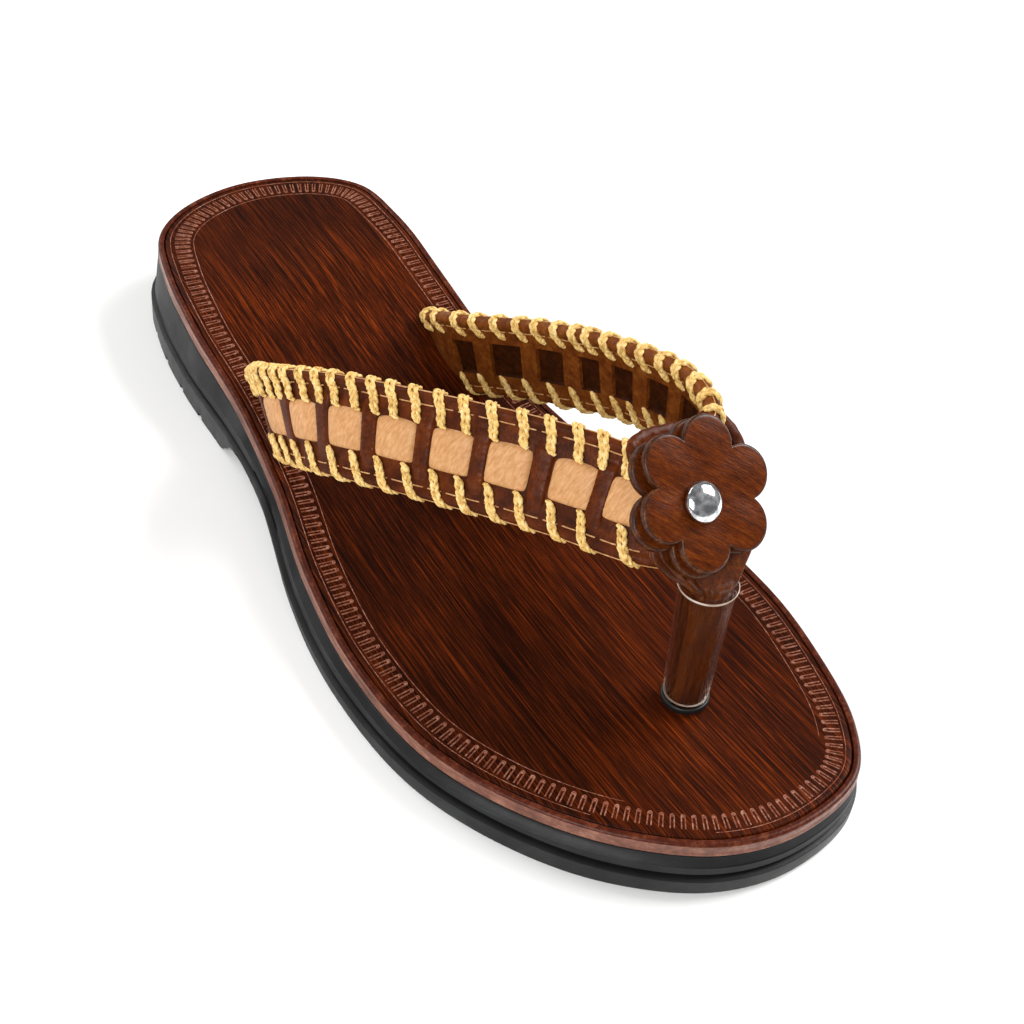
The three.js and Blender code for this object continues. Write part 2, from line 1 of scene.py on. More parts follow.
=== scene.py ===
import logging
import math
import random
from dataclasses import dataclass, field
from enum import Enum
from typing import Callable, Sequence

import bpy
import numpy as np
from mathutils import Matrix, Vector


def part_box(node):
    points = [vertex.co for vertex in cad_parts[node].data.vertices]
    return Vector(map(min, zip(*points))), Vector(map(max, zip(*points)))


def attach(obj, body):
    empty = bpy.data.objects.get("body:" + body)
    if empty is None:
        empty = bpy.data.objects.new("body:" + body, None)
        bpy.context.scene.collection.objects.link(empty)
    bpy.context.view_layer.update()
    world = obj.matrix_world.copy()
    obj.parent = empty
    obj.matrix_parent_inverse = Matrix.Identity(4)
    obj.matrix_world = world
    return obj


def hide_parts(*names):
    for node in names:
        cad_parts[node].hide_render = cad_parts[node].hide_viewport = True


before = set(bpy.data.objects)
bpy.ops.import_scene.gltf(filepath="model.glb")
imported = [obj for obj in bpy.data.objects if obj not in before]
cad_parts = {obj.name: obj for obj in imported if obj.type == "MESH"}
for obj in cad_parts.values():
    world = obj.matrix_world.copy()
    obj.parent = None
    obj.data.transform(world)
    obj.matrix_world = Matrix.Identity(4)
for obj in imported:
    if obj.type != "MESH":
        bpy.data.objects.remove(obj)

# Kolhapuri sandal, right foot. Lengths are in millimetres until they are placed.
# The toe points to -Y, and +X is the big toe's side.
MM = 0.001
TURN = 2 * math.pi
Row = dict[str, float]
Array = np.ndarray
Point = tuple[float, float, float]
Reader = Callable[[Array], Array]
Place = Callable[[Array, Array], Array]
log = logging.getLogger("sandal")


def rows(names: str, *values: Sequence[float]) -> list[Row]:
    """Name the columns of a short table.

    Args:
        names: The column names, parted by spaces.
        values: One sequence of numbers for each row.

    Returns:
        The rows as dictionaries.
    """
    return [dict(zip(names.split(), row)) for row in values]


def column(table: list[Row], key: str, name: str, at: Array) -> Array:
    """Run a smooth curve that never overshoots through one column of a table.

    Args:
        table: The rows, in rising order of key.
        key: The column that is measured along.
        name: The column that is read.
        at: Where to read it.

    Returns:
        The column's values.
    """
    x = np.array([row[key] for row in table])
    y = np.array([row[name] for row in table])
    steps = np.diff(y) / np.diff(x)
    slope = np.zeros(len(x))
    same = steps[:-1] * steps[1:] > 0
    total = np.where(same, steps[:-1] + steps[1:], 1)
    slope[1:-1] = np.where(same, 2 * steps[:-1] * steps[1:] / total, 0)
    at = np.clip(np.asarray(at, float), x[0], x[-1])
    i = np.clip(np.searchsorted(x, at, side="left") - 1, 0, len(x) - 2)
    width = x[i + 1] - x[i]
    t = (at - x[i]) / width
    rise = y[i + 1] - y[i]
    start, end = slope[i] * width, slope[i + 1] * width
    return y[i] + t * start + t**2 * (3 * rise - 2 * start - end) + t**3 * (start + end - 2 * rise)


def spline(points: Array, closed: bool, steps: int) -> Array:
    """Run a centripetal Catmull-Rom curve through points.

    Args:
        points: The points to pass.
        closed: Whether the curve returns to its first point.
        steps: Samples for each span.

    Returns:
        The samples, with the last point of an open curve.
    """
    count = len(points)
    found = []
    for i in range(count if closed else count - 1):
        a, b = points[i], points[(i + 1) % count]
        before = points[i - 1] if closed or i > 0 else 2 * a - b
        after = points[(i + 2) % count] if closed or i + 2 < count else 2 * b - a
        pairs = ((before, a), (a, b), (b, after))
        gaps = [max(float(((p - q) ** 2).sum()) ** 0.25, 1e-4) for p, q in pairs]
        start = ((a - before) / gaps[0] - (b - before) / (gaps[0] + gaps[1]) + (b - a) / gaps[1]) * gaps[1]
        end = ((b - a) / gaps[1] - (after - a) / (gaps[1] + gaps[2]) + (after - b) / gaps[2]) * gaps[1]
        square = 3 * (b - a) - 2 * start - end
        cube = start + end - 2 * (b - a)
        for t in np.arange(steps) / steps:
            found.append(a + t * start + t**2 * square + t**3 * cube)
    if not closed:
        found.append(points[-1])
    return np.array(found)


def smooth(low: float, high: float, at: Array) -> Array:
    """Rise smoothly from 0 at low to 1 at high."""
    t = np.clip((np.asarray(at, float) - low) / (high - low), 0, 1)
    return t * t * (3 - 2 * t)


def unit(vectors: Array) -> Array:
    """Give each row of vectors the length 1."""
    return vectors / np.linalg.norm(vectors, axis=1)[:, None]


def between(points: Sequence[tuple[float, float]], v: Array) -> tuple[Array, Array]:
    """Read a profile of pairs.

    Args:
        points: The profile, one pair a row.
        v: Row numbers, whole or not.

    Returns:
        The first and the second values.
    """
    table = np.array(points, float)
    span = np.arange(len(table))
    return np.interp(v, span, table[:, 0]), np.interp(v, span, table[:, 1])


# Modelling helpers


def deselect() -> None:
    """Leave edit mode and deselect everything, as an operator acts on all that is selected."""
    if bpy.context.object and bpy.context.object.mode != "OBJECT":
        bpy.ops.object.mode_set(mode="OBJECT")
    bpy.ops.object.select_all(action="DESELECT")


def pick(piece: bpy.types.Object) -> None:
    """Make one piece the only selected and active object.

    Args:
        piece: The piece.
    """
    deselect()
    piece.select_set(True)
    bpy.context.view_layer.objects.active = piece


def newest(name: str) -> bpy.types.Object:
    """Name the object that the last operator added, and its mesh.

    Args:
        name: The new name.

    Returns:
        The object.
    """
    piece = bpy.context.object
    piece.name = name
    piece.data.name = name
    return piece


def edit_all(piece: bpy.types.Object) -> None:
    """Enter edit mode with all of one piece selected.

    Args:
        piece: The piece.
    """
    pick(piece)
    bpy.ops.object.mode_set(mode="EDIT")
    bpy.ops.mesh.select_all(action="SELECT")


def close_edit() -> None:
    """Turn the faces outwards and leave edit mode."""
    bpy.ops.mesh.select_all(action="SELECT")
    bpy.ops.mesh.normals_make_consistent(inside=False)
    bpy.ops.object.mode_set(mode="OBJECT")


def clean(piece: bpy.types.Object, merge: float = 0.002, fill: bool = False) -> None:
    """Merge doubled points, fill open ends where asked, and turn the faces outwards.

    Args:
        piece: The mesh to clean.
        merge: The distance under which points merge, in millimetres.
        fill: Whether open ends are filled.
    """
    edit_all(piece)
    bpy.ops.mesh.remove_doubles(threshold=merge * MM)
    if fill:
        bpy.ops.mesh.select_all(action="SELECT")
        bpy.ops.mesh.fill_holes(sides=0)
    close_edit()


def soften(piece: bpy.types.Object, angle: float = 40) -> None:
    """Shade a piece smoothly, with edges left sharp over an angle in degrees."""
    pick(piece)
    bpy.ops.object.shade_smooth_by_angle(angle=math.radians(angle))


def apply_all(piece: bpy.types.Object) -> None:
    """Apply every modifier of a piece, in order."""
    pick(piece)
    for modifier in list(piece.modifiers):
        bpy.ops.object.modifier_apply(modifier=modifier.name)


def sheet_of(
    name: str, us: Sequence[float], vs: Sequence[float], place: Place, parts: Place | None = None
) -> bpy.types.Object:
    """Shape a grid primitive into a swept surface.

    Args:
        name: The piece's name.
        us: The values along the grid's first side.
        vs: The values along the grid's second side.
        place: Gives each point's place in millimetres from its two values.
        parts: Gives each face's material number from its two values.

    Returns:
        The piece, with its place in its mesh.
    """
    deselect()
    bpy.ops.mesh.primitive_grid_add(x_subdivisions=len(us) - 1, y_subdivisions=len(vs) - 1, size=2)
    piece = newest(name)
    mesh = piece.data
    flat = np.empty(len(mesh.vertices) * 3)
    mesh.vertices.foreach_get("co", flat)
    flat = flat.reshape(-1, 3)
    i = np.rint((flat[:, 0] + 1) / 2 * (len(us) - 1)).astype(int)
    j = np.rint((flat[:, 1] + 1) / 2 * (len(vs) - 1)).astype(int)
    u, v = np.asarray(us, float)[i], np.asarray(vs, float)[j]
    if parts is not None:
        corners = np.empty(len(mesh.polygons) * 4, int)
        mesh.polygons.foreach_get("vertices", corners)
        corners = corners.reshape(-1, 4)
        numbers = parts(u[corners].mean(1), v[corners].mean(1)).astype(np.int32)
        mesh.polygons.foreach_set("material_index", numbers)
    mesh.vertices.foreach_set("co", (place(u, v) * MM).astype(np.float32).ravel())
    mesh.update()
    return piece


def cords(name: str, paths: Sequence[Array], radius: float) -> bpy.types.Object:
    """Draw thin six-sided cords along paths and turn them into one mesh.

    Args:
        name: The piece's name.
        paths: For each cord, its points in millimetres.
        radius: The cord's radius in millimetres.

    Returns:
        The mesh piece.
    """
    curve = bpy.data.curves.new(name, "CURVE")
    curve.dimensions = "3D"
    curve.bevel_depth = radius * MM
    curve.bevel_resolution = 1
    curve.use_fill_caps = True
    for path in paths:
        line = curve.splines.new("POLY")
        line.points.add(len(path) - 1)
        placed = np.c_[np.asarray(path) * MM, np.ones(len(path))]
        line.points.foreach_set("co", placed.astype(np.float32).ravel())
    piece = bpy.data.objects.new(name, curve)
    bpy.context.scene.collection.objects.link(piece)
    pick(piece)
    bpy.ops.object.convert(target="MESH")
    piece = newest(name)
    soften(piece, 60)
    return piece


def join(name: str, pieces: Sequence[bpy.types.Object]) -> bpy.types.Object:
    """Join pieces into one.

    Args:
        name: The joined piece's name.
        pieces: The pieces; the first one takes the others in.

    Returns:
        The joined piece.
    """
    pick(pieces[0])
    for piece in pieces:
        piece.select_set(True)
    bpy.ops.object.join()
    return newest(name)


# Finishes


def linear(code: str) -> tuple[float, float, float, float]:
    """Turn an sRGB hex value into linear colour.

    Args:
        code: A hash sign and six hex digits.

    Returns:
        Red, green and blue, with an alpha of 1.
    """
    parts = [int(code[i : i + 2], 16) / 255 for i in (1, 3, 5)]
    low, high = 0.04045, 12.92
    turned = [c / high if c <= low else ((c + 0.055) / 1.055) ** 2.4 for c in parts]
    return (*turned, 1.0)


def add(
    tree: bpy.types.NodeTree, kind: str, settings: dict | None = None, **inputs: object
) -> bpy.types.Node:
    """Add a shader node with its settings and its links.

    Args:
        tree: The material's tree.
        kind: The node's type.
        settings: Values set on the node itself.
        inputs: Values or sockets for its inputs, with spaces in their names as underscores. A leading n
            gives a socket by its number.

    Returns:
        The node.
    """
    node = tree.nodes.new(kind)
    for name, value in (settings or {}).items():
        setattr(node, name, value)
    for name, value in inputs.items():
        numbered = name[0] == "n" and name[1:].isdigit()
        socket = node.inputs[int(name[1:]) if numbered else name.replace("_", " ")]
        if isinstance(value, bpy.types.NodeSocket):
            tree.links.new(value, socket)
        else:
            socket.default_value = value
    return node


class Pattern(Enum):
    """What the eye sees in a finish."""

    GRAIN = "leather grain"
    STREAKS = "streaks along the foot"
    MOTTLED = "mottled with streaks"
    FIBRE = "fine fibres"
    PLAIN = "even"


@dataclass(frozen=True)
class Finish:
    """A material by the real one's name and the way that its surface was made.

    Its three colours run from dark to light over patches, and stops say where on the patches each one stands.
    patch, grain and cloud are sizes in millimetres: of the patches, of the fine relief and of broad shading.
    relief is the fine relief's height in millimetres. turn, in degrees, turns the patches, and stretch draws
    them out after that.
    """

    name: str
    dark: str
    base: str
    light: str
    pattern: Pattern
    patch: float = 9.0
    grain: float = 0.5
    relief: float = 0.06
    rough: float = 0.45
    rough_spread: float = 0.12
    coat: float = 0.0
    metallic: float = 0.0
    transmission: float = 0.0
    ior: float = 1.5
    gloss: float = 0.4
    cloud: float = 0.0
    stretch: Point = (1.0, 1.0, 1.0)
    turn: Point = (0.0, 0.0, 0.0)
    stops: Point = (0.3, 0.5, 0.72)

    def make(self) -> bpy.types.Material:
        """Build the node tree once.

        Returns:
            The material.
        """
        found = bpy.data.materials.get(self.name)
        if found:
            return found
        material = bpy.data.materials.new(self.name)
        material.use_nodes = True
        tree = material.node_tree
        tree.nodes.clear()
        shader = add(tree, "ShaderNodeBsdfPrincipled")
        out = add(tree, "ShaderNodeOutputMaterial", Surface=shader.outputs["BSDF"])
        out.is_active_output = True
        shader.inputs["Metallic"].default_value = self.metallic
        shader.inputs["Coat Weight"].default_value = self.coat
        shader.inputs["Coat Roughness"].default_value = 0.12
        shader.inputs["Transmission Weight"].default_value = self.transmission
        if not self.metallic:
            shader.inputs["IOR"].default_value = self.ior
            shader.inputs["Specular IOR Level"].default_value = self.gloss
        place = add(tree, "ShaderNodeTexCoord").outputs["Object"]
        turn = tuple(math.radians(angle) for angle in self.turn)
        scale = tuple(1 / (MM * share) for share in self.stretch)
        level = add(tree, "ShaderNodeMapping", Vector=place, Rotation=turn).outputs["Vector"]
        turned = add(tree, "ShaderNodeMapping", Vector=level, Scale=scale).outputs["Vector"]
        even = add(tree, "ShaderNodeMapping", Vector=place, Scale=(1 / MM,) * 3).outputs["Vector"]
        noise = "ShaderNodeTexNoise"
        broad = add(tree, noise, Vector=turned, Scale=1 / self.patch, Detail=5.0, Roughness=0.62)
        patches = broad.outputs["Fac"]
        tree.links.new(self.colour(tree, patches, turned, even), shader.inputs["Base Color"])
        dull = self.rough + self.rough_spread
        bright = max(0.04, self.rough - self.rough_spread)
        worn = add(tree, "ShaderNodeMapRange", Value=patches, n1=0.3, n2=0.7, n3=dull, n4=bright)
        tree.links.new(worn.outputs["Result"], shader.inputs["Roughness"])
        if self.relief:
            tree.links.new(self.bump(tree, turned, even), shader.inputs["Normal"])
        return material

    def colour(
        self,
        tree: bpy.types.NodeTree,
        patches: bpy.types.NodeSocket,
        turned: bpy.types.NodeSocket,
        even: bpy.types.NodeSocket,
    ) -> bpy.types.NodeSocket:
        """Spread the three colours over the patches, with finer streaks and broad shading where it has them.

        Args:
            tree: The material's tree.
            patches: The patches' value.
            turned: Stretched coordinates in millimetres.
            even: Plain coordinates in millimetres.

        Returns:
            The colour.
        """
        shade = patches
        noise, mix = "ShaderNodeTexNoise", "ShaderNodeMix"
        if self.pattern in (Pattern.STREAKS, Pattern.MOTTLED):
            fine = add(tree, noise, Vector=turned, Scale=3.1 / self.patch, Detail=6.0, Roughness=0.7)
            plain = {"data_type": "FLOAT"}
            shade = add(tree, mix, plain, n0=0.5, n2=shade, n3=fine.outputs["Fac"]).outputs[0]
        ramp = add(tree, "ShaderNodeValToRGB", Fac=shade)
        stops = ramp.color_ramp.elements
        stops[0].position, stops[0].color = self.stops[0], linear(self.dark)
        stops[1].position, stops[1].color = self.stops[2], linear(self.light)
        stops.new(self.stops[1]).color = linear(self.base)
        colour = ramp.outputs["Color"]
        if self.cloud:
            wide = add(tree, noise, Vector=even, Scale=1 / self.cloud, Detail=2.0).outputs["Fac"]
            dim = add(tree, "ShaderNodeMapRange", Value=wide, n1=0.36, n2=0.62, n3=0.62, n4=1.12)
            times = {"data_type": "RGBA", "blend_type": "MULTIPLY"}
            colour = add(tree, mix, times, n0=1.0, n6=colour, n7=dim.outputs["Result"]).outputs[2]
        return colour

    def bump(
        self, tree: bpy.types.NodeTree, turned: bpy.types.NodeSocket, even: bpy.types.NodeSocket
    ) -> bpy.types.NodeSocket:
        """Raise the surface's own fine relief.

        Args:
            tree: The material's tree.
            turned: Stretched coordinates in millimetres.
            even: Plain coordinates in millimetres.

        Returns:
            The normal.
        """
        scale = 1 / self.grain
        if self.pattern is Pattern.GRAIN:
            cell = add(tree, "ShaderNodeTexVoronoi", {"feature": "SMOOTH_F1"}, Vector=even, Scale=scale)
            height = cell.outputs["Distance"]
        else:
            source = even if self.pattern is Pattern.PLAIN else turned
            height = add(tree, "ShaderNodeTexNoise", Vector=source, Scale=scale, Detail=4.0).outputs["Fac"]
        bump = add(tree, "ShaderNodeBump", Strength=1.0, Distance=self.relief * MM, Height=height)
        return bump.outputs["Normal"]


class Finishes:
    """Every finish on the sandal."""

    # Black rubber from a satin mould: deep, dull and slightly uneven
    RUBBER = Finish(
        "Moulded black rubber", "#0c0c0d", "#151516", "#1f2022", Pattern.PLAIN,
        14, 0.35, 0.05, 0.46, 0.08,
        gloss=0.25,
    )
    # Varnished vegetable leather, brushed lengthwise: a low gloss over dark and red-brown streaks, about a
    # third of a millimetre wide
    FOOTBED = Finish(
        "Varnished brushed leather", "#120300", "#361204", "#82340a", Pattern.STREAKS,
        0.36, 0.28, 0.07, 0.36, 0.1,
        stretch=(1.0, 90.0, 8.0), stops=(0.4, 0.51, 0.66), gloss=0.045, cloud=50.0,
    )
    # Burnished edge leather: a rosy copper tone with a soft shine
    EDGE = Finish(
        "Burnished copper-brown leather", "#3b1d12", "#70412f", "#a06f58", Pattern.MOTTLED,
        3.0, 0.4, 0.05, 0.34,
        0.1, stretch=(1.0, 5.0, 1.0),
    )
    # The same leather on top of the edge, where the varnish has darkened it
    RIDGE = Finish(
        "Varnished leather ridge", "#240b03", "#46190a", "#7a432c", Pattern.MOTTLED,
        3.0, 0.4, 0.03, 0.3, 0.06,
        gloss=0.16,
    )
    # Tooled with a hot iron: the raised rungs, dots and lines are coloured light rosy as a painted highlight,
    # between dark hollows
    BORDER = Finish(
        "Tooled leather border, painted highlight", "#3a160b", "#7c4632", "#c49680", Pattern.MOTTLED,
        1.4, 0.3, 0.02, 0.22, 0.08,
        gloss=0.3,
    )
    # Waxed strap leather: dark, semi-gloss, with a fine pressed grain
    STRAP = Finish(
        "Waxed brown strap leather", "#280f04", "#481e0a", "#673012", Pattern.GRAIN,
        5.0, 0.6, 0.07, 0.36, gloss=0.07
    )
    # Polished strips of the same leather: redder, with a shine on every wrinkle
    BAR = Finish(
        "Glossy brown strap leather", "#2a0f03", "#4d1f06", "#70330c", Pattern.MOTTLED,
        3.0, 0.45, 0.09, 0.32, 0.1,
        stretch=(1.0, 1.0, 2.5), gloss=0.1,
    )
    # Brushed lining leather: lighter than the strap, cloudy and half dull
    LINING = Finish(
        "Brushed lining leather", "#3c1c08", "#6c3610", "#945a24", Pattern.MOTTLED,
        3.5, 0.5, 0.07, 0.46, gloss=0.1
    )
    # Darker and duller leather on the sunk floors of the lining's windows
    WINDOW = Finish(
        "Dark strap leather, window floors", "#1a0902", "#331606", "#55290f", Pattern.MOTTLED,
        2.6, 0.6, 0.06, 0.5,
        gloss=0.08,
    )
    # Natural leather with fine hair lines pressed across it: pale and dull
    TAN = Finish(
        "Natural tan leather", "#b07b48", "#c28d5a", "#d2a273", Pattern.FIBRE,
        1.1, 0.3, 0.06, 0.5, 0.08,
        stretch=(1.6, 0.5, 1.6), gloss=0.3,
    )
    # Waxed straw-yellow cord: soft sheen, darker where the plies meet
    CORD = Finish(
        "Plaited straw-yellow cord", "#a87838", "#e0b96c", "#f3daa0", Pattern.FIBRE,
        1.2, 0.35, 0.05, 0.42, gloss=0.3
    )
    # Spun thread: a thin golden glint
    THREAD = Finish(
        "Golden sewing thread", "#8a5a2c", "#b98550", "#d9b27c", Pattern.FIBRE,
        1.0, 0.3, 0.02, 0.36,
    )
    # Leather rolled and pressed lengthwise: long dark creases with a low shine
    POST = Finish(
        "Rolled brown leather", "#200c02", "#4a2008", "#753c14", Pattern.MOTTLED,
        2.4, 0.4, 0.08, 0.3, 0.08,
        stretch=(1.0, 1.0, 6.0), gloss=0.18,
    )
    # Polished and mottled, with dark pores that run across the flower
    PETAL = Finish(
        "Polished mottled leather", "#1a0600", "#4e1f05", "#7a3b0d", Pattern.MOTTLED,
        1.2, 0.35, 0.08, 0.32, 0.08,
        coat=0.03, stretch=(5.0, 0.8, 0.8), turn=(0.0, -32.9, 30.2), gloss=0.07,
    )
    # The flowers' cut edge, burnished: dark, with lighter spots
    RIM = Finish(
        "Burnished leather cut edge", "#1d0a04", "#3d1c0a", "#744628", Pattern.MOTTLED,
        2.0, 0.3, 0.03, 0.3, 0.08,
        gloss=0.2,
    )
    # Moulded rubber, smoother than the sole's: nearly black
    SEAT = Finish("Black rubber ring", "#0b0b0b", "#131313", "#1e1e1e", Pattern.PLAIN, 6.0, 0.4, 0.02, 0.4)
    # Extruded soft vinyl: clear with a wet shine. Its IOR is far below vinyl's 1.5, so the post shows unbent
    SLEEVE = Finish(
        "Clear soft vinyl", "#f2f2f0", "#f7f7f5", "#ffffff", Pattern.PLAIN,
        20.0, 3.0, 0.02, 0.06, 0.02,
        transmission=1.0, ior=1.04, coat=1.0,
    )
    # The sleeve's bottom end and the outside of its flared top lip are opaque and pale: a painted highlight
    # for the thin bright line at each end
    LIP_HIGHLIGHT = Finish("Sleeve lip, painted highlight", "#84725f", "#ab998a", "#d3c6bc", Pattern.PLAIN, 4.0, 1.0, 0.02, 0.25, 0.05)
    # Chrome plated and polished: a mirror with soft, shallow dents
    CHROME = Finish(
        "Polished chrome", "#9a9b9d", "#d0d1d3", "#f3f3f5", Pattern.PLAIN,
        2.6, 2.4, 0.07, 0.13, 0.04, metallic=1.0,
        stops=(0.4, 0.5, 0.58),
    )
    # Matt paper: even and nearly white
    FLOOR = Finish(
        "Pale backdrop paper", "#f4f4f3", "#f6f6f5", "#f8f8f7", Pattern.PLAIN,
        400.0, 5.0, 0.0, 0.9, 0.02
    )


def dress(
    piece: bpy.types.Object, finishes: Sequence[Finish], nodes: Sequence[str] = ()
) -> bpy.types.Object:
    """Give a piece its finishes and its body.

    Args:
        piece: The finished piece.
        finishes: Its finishes, in the order of its material numbers.
        nodes: The solids that the piece stands for.

    Returns:
        The piece.
    """
    kept = [polygon.material_index for polygon in piece.data.polygons] if len(finishes) > 1 else None
    piece.data.materials.clear()
    for finish in finishes:
        piece.data.materials.append(finish.make())
    if kept:
        piece.data.polygons.foreach_set("material_index", kept)
    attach(piece, "root")
    if nodes:
        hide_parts(*nodes)
    log.info("%s: %d faces", piece.name, len(piece.data.polygons))
    return piece


# The last


@dataclass
class Last:
    """The shape that the sole and the footbed follow."""

    length: float = 243.0
    ball: float = 94.0
    heel: float = 23.4
    arch: float = 8.2
    toe: float = 1.2
    instep: float = 60.0
    flare_heel: float = 3.0
    flare_lateral: float = 3.0
    flare_medial: float = 0.8
    inset: float = 1.6
    stations: int = 480
    outline: list[Row] = field(
        default_factory=lambda: rows(
            "along medial lateral",
            (0.02, 0.242, 0.184),
            (0.06, 0.356, 0.302),
            (0.13, 0.38, 0.358),
            (0.22, 0.371, 0.385),
            (0.34, 0.36, 0.39),
            (0.45, 0.362, 0.425),
            (0.56, 0.41, 0.483),
            (0.67, 0.487, 0.508),
            (0.78, 0.506, 0.477),
            (0.87, 0.463, 0.373),
            (0.94, 0.396, 0.23),
            (0.985, 0.296, 0.068),
        )
    )
    profile: list[Row] = field(
        default_factory=lambda: rows(
            "along top groove arch toe",
            (0, 1.01, 0.33, 0, 0),
            (0.17, 0.975, 0.33, 0, 0),
            (0.25, 0.88, 0.325, 0, 0),
            (0.314, 0.785, 0.33, 0, 0),
            (0.343, 0.745, 0.345, 0.68, 0),
            (0.395, 0.69, 0.4, 0.97, 0),
            (0.435, 0.655, 0.425, 1, 0),
            (0.5, 0.605, 0.32, 0.66, 0),
            (0.555, 0.55, 0.19, 0.22, 0),
            (0.61, 0.51, 0.14, 0, 0),
            (0.66, 0.485, 0.15, 0, 0),
            (0.75, 0.475, 0.185, 0, 0),
            (0.83, 0.5, 0.205, 0, 0),
            (0.9, 0.545, 0.22, 0, 0.1),
            (1, 0.61, 0.25, 0, 1),
        )
    )

    def __post_init__(self) -> None:
        """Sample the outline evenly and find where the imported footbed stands."""
        fine = 60
        loop = [(0.02 * self.ball, self.y_at(0))]
        loop += [(row["medial"] * self.ball, self.y_at(row["along"])) for row in self.outline]
        loop += [(0.105 * self.ball, self.y_at(1))]
        loop += [(-row["lateral"] * self.ball, self.y_at(row["along"])) for row in reversed(self.outline)]
        dense = spline(np.array(loop), True, fine)
        dense = np.vstack([dense, dense[:1]])
        toe = fine * (len(self.outline) + 1)
        halves = []
        for side in (dense[: toe + 1], dense[toe:]):
            run = np.r_[0, np.cumsum(np.linalg.norm(np.diff(side, axis=0), axis=1))]
            even = np.linspace(0, run[-1], self.stations // 2, endpoint=False)
            halves.append(np.c_[np.interp(even, run, side[:, 0]), np.interp(even, run, side[:, 1])])
        self.around = np.vstack(halves)
        ahead = unit(np.roll(self.around, -1, 0) - np.roll(self.around, 1, 0))
        self.out = np.c_[-ahead[:, 1], ahead[:, 0]]
        steps = np.linalg.norm(np.diff(np.vstack([self.around, self.around[:1]]), axis=0), axis=1)
        self.run = np.r_[0, np.cumsum(steps)]
        edge = self.around - self.inset * self.out
        low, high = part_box("footbed")
        packed = np.array([(low.x + high.x) / 2, (low.y + high.y) / 2]) / MM
        self.shift = np.append(packed - (edge.min(0) + edge.max(0)) / 2, 0.0)

    def y_at(self, along: float) -> float:
        """Turn a share of the footbed's length into a place along it."""
        return self.length * (0.5 - along)

    def share(self, y: Array) -> Array:
        """Turn a place along the footbed into a share of its length."""
        return np.clip(0.5 - np.asarray(y) / self.length, 0, 1)

    def read(self, name: str, y: Array) -> Array:
        """Read a column of the profile at places along the footbed."""
        return column(self.profile, "along", name, self.share(y))

    def top(self, y: Array) -> Array:
        """Height of the footbed's edge."""
        return self.heel * self.read("top", y)

    def bottom(self, y: Array) -> Array:
        """Height of the sole's underside."""
        return self.arch * self.read("arch", y) + self.toe * self.read("toe", y)

    def groove(self, y: Array) -> Array:
        """Height of the groove round the sole."""
        return self.heel * self.read("groove", y)

    def flare(self, y: Array, side: Array) -> Array:
        """How far the sole's foot stands out; side is 0 at the medial edge and 1 at the lateral one."""
        toe = self.flare_medial + (self.flare_lateral - self.flare_medial) * side
        return self.flare_heel + (toe - self.flare_heel) * self.share(y)

    def ring(self, u: Array, out: Array, height: Reader) -> Array:
        """Place points round the outline.

        Args:
            u: Station numbers, whole or not.
            out: The distance out from the outline.
            height: Gives the height at each place along the last.

        Returns:
            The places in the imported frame.
        """
        x, y, nx, ny = self.edge(u)
        return np.c_[x + nx * out, y + ny * out, height(y)] + self.shift

    def edge(self, u: Array) -> tuple[Array, Array, Array, Array]:
        """Read the outline at station numbers.

        Args:
            u: Station numbers, whole or not.

        Returns:
            The places across and along, and the outward direction's two parts.
        """
        at = np.mod(u, self.stations)
        span = np.arange(self.stations + 1)
        sources = (self.around[:, 0], self.around[:, 1], self.out[:, 0], self.out[:, 1])
        return tuple(np.interp(at, span, np.append(source, source[0])) for source in sources)

    def side(self, u: Array) -> Array:
        """Tell how far the outline faces sideways: 0 is the medial side and 1 is the lateral one."""
        return (1 - self.edge(u)[2]) / 2

    def across(self, u: Array, v: Array, out: Reader, height: Reader) -> Array:
        """Place points on rungs that join the medial edge to the lateral one.

        Args:
            u: Station numbers of the medial edge, from 0 at the heel to half the stations at the toe.
            v: 0 on the medial edge and 1 on the lateral one.
            out: Gives the edge's distance from the outline at station numbers.
            height: Gives the height at each place along the last.

        Returns:
            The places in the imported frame.
        """
        ends = []
        for at in (np.asarray(u, float), self.stations - np.asarray(u, float)):
            x, y, nx, ny = self.edge(at)
            off = out(at)
            ends.append(np.c_[x + nx * off, y + ny * off, y])
        placed = ends[0] + (ends[1] - ends[0]) * np.asarray(v)[:, None]
        placed[:, 2] = height(placed[:, 2])
        return placed + self.shift

    def every(self, pitch: float) -> Array:
        """Give station numbers at an even pitch round the whole outline."""
        count = int(round(self.run[-1] / pitch))
        return np.interp(np.arange(count) / count * self.run[-1], self.run, np.arange(self.stations + 1))

    def face(self, name: str, columns: int, out: Reader, height: Reader) -> bpy.types.Object:
        """Span a face from the medial edge to the lateral one.

        Args:
            name: The piece's name.
            columns: Points on each rung.
            out: Gives the edge's distance from the outline at station numbers.
            height: Gives the height at each place along the last.

        Returns:
            The piece.
        """
        half = range(self.stations // 2 + 1)
        return sheet_of(name, half, np.linspace(0, 1, columns), lambda u, v: self.across(u, v, out, height))

    def hem(
        self, name: str, profile: Sequence[tuple[float, float]], parts: Place | None = None
    ) -> bpy.types.Object:
        """Sweep a profile round the footbed's edge.

        Args:
            name: The piece's name.
            profile: Pairs of the distance out from the outline and the distance down from the top edge.
            parts: Gives each face's material number.

        Returns:
            The piece.
        """

        def wall(u: Array, v: Array) -> Array:
            """Place points at station numbers and rows of the profile.

            Args:
                u: Station numbers.
                v: Row numbers.

            Returns:
                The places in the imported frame.
            """
            out, down = between(profile, v)
            return self.ring(u, out, lambda y: self.top(y) - down)

        return sheet_of(name, range(self.stations + 1), range(len(profile)), wall, parts)


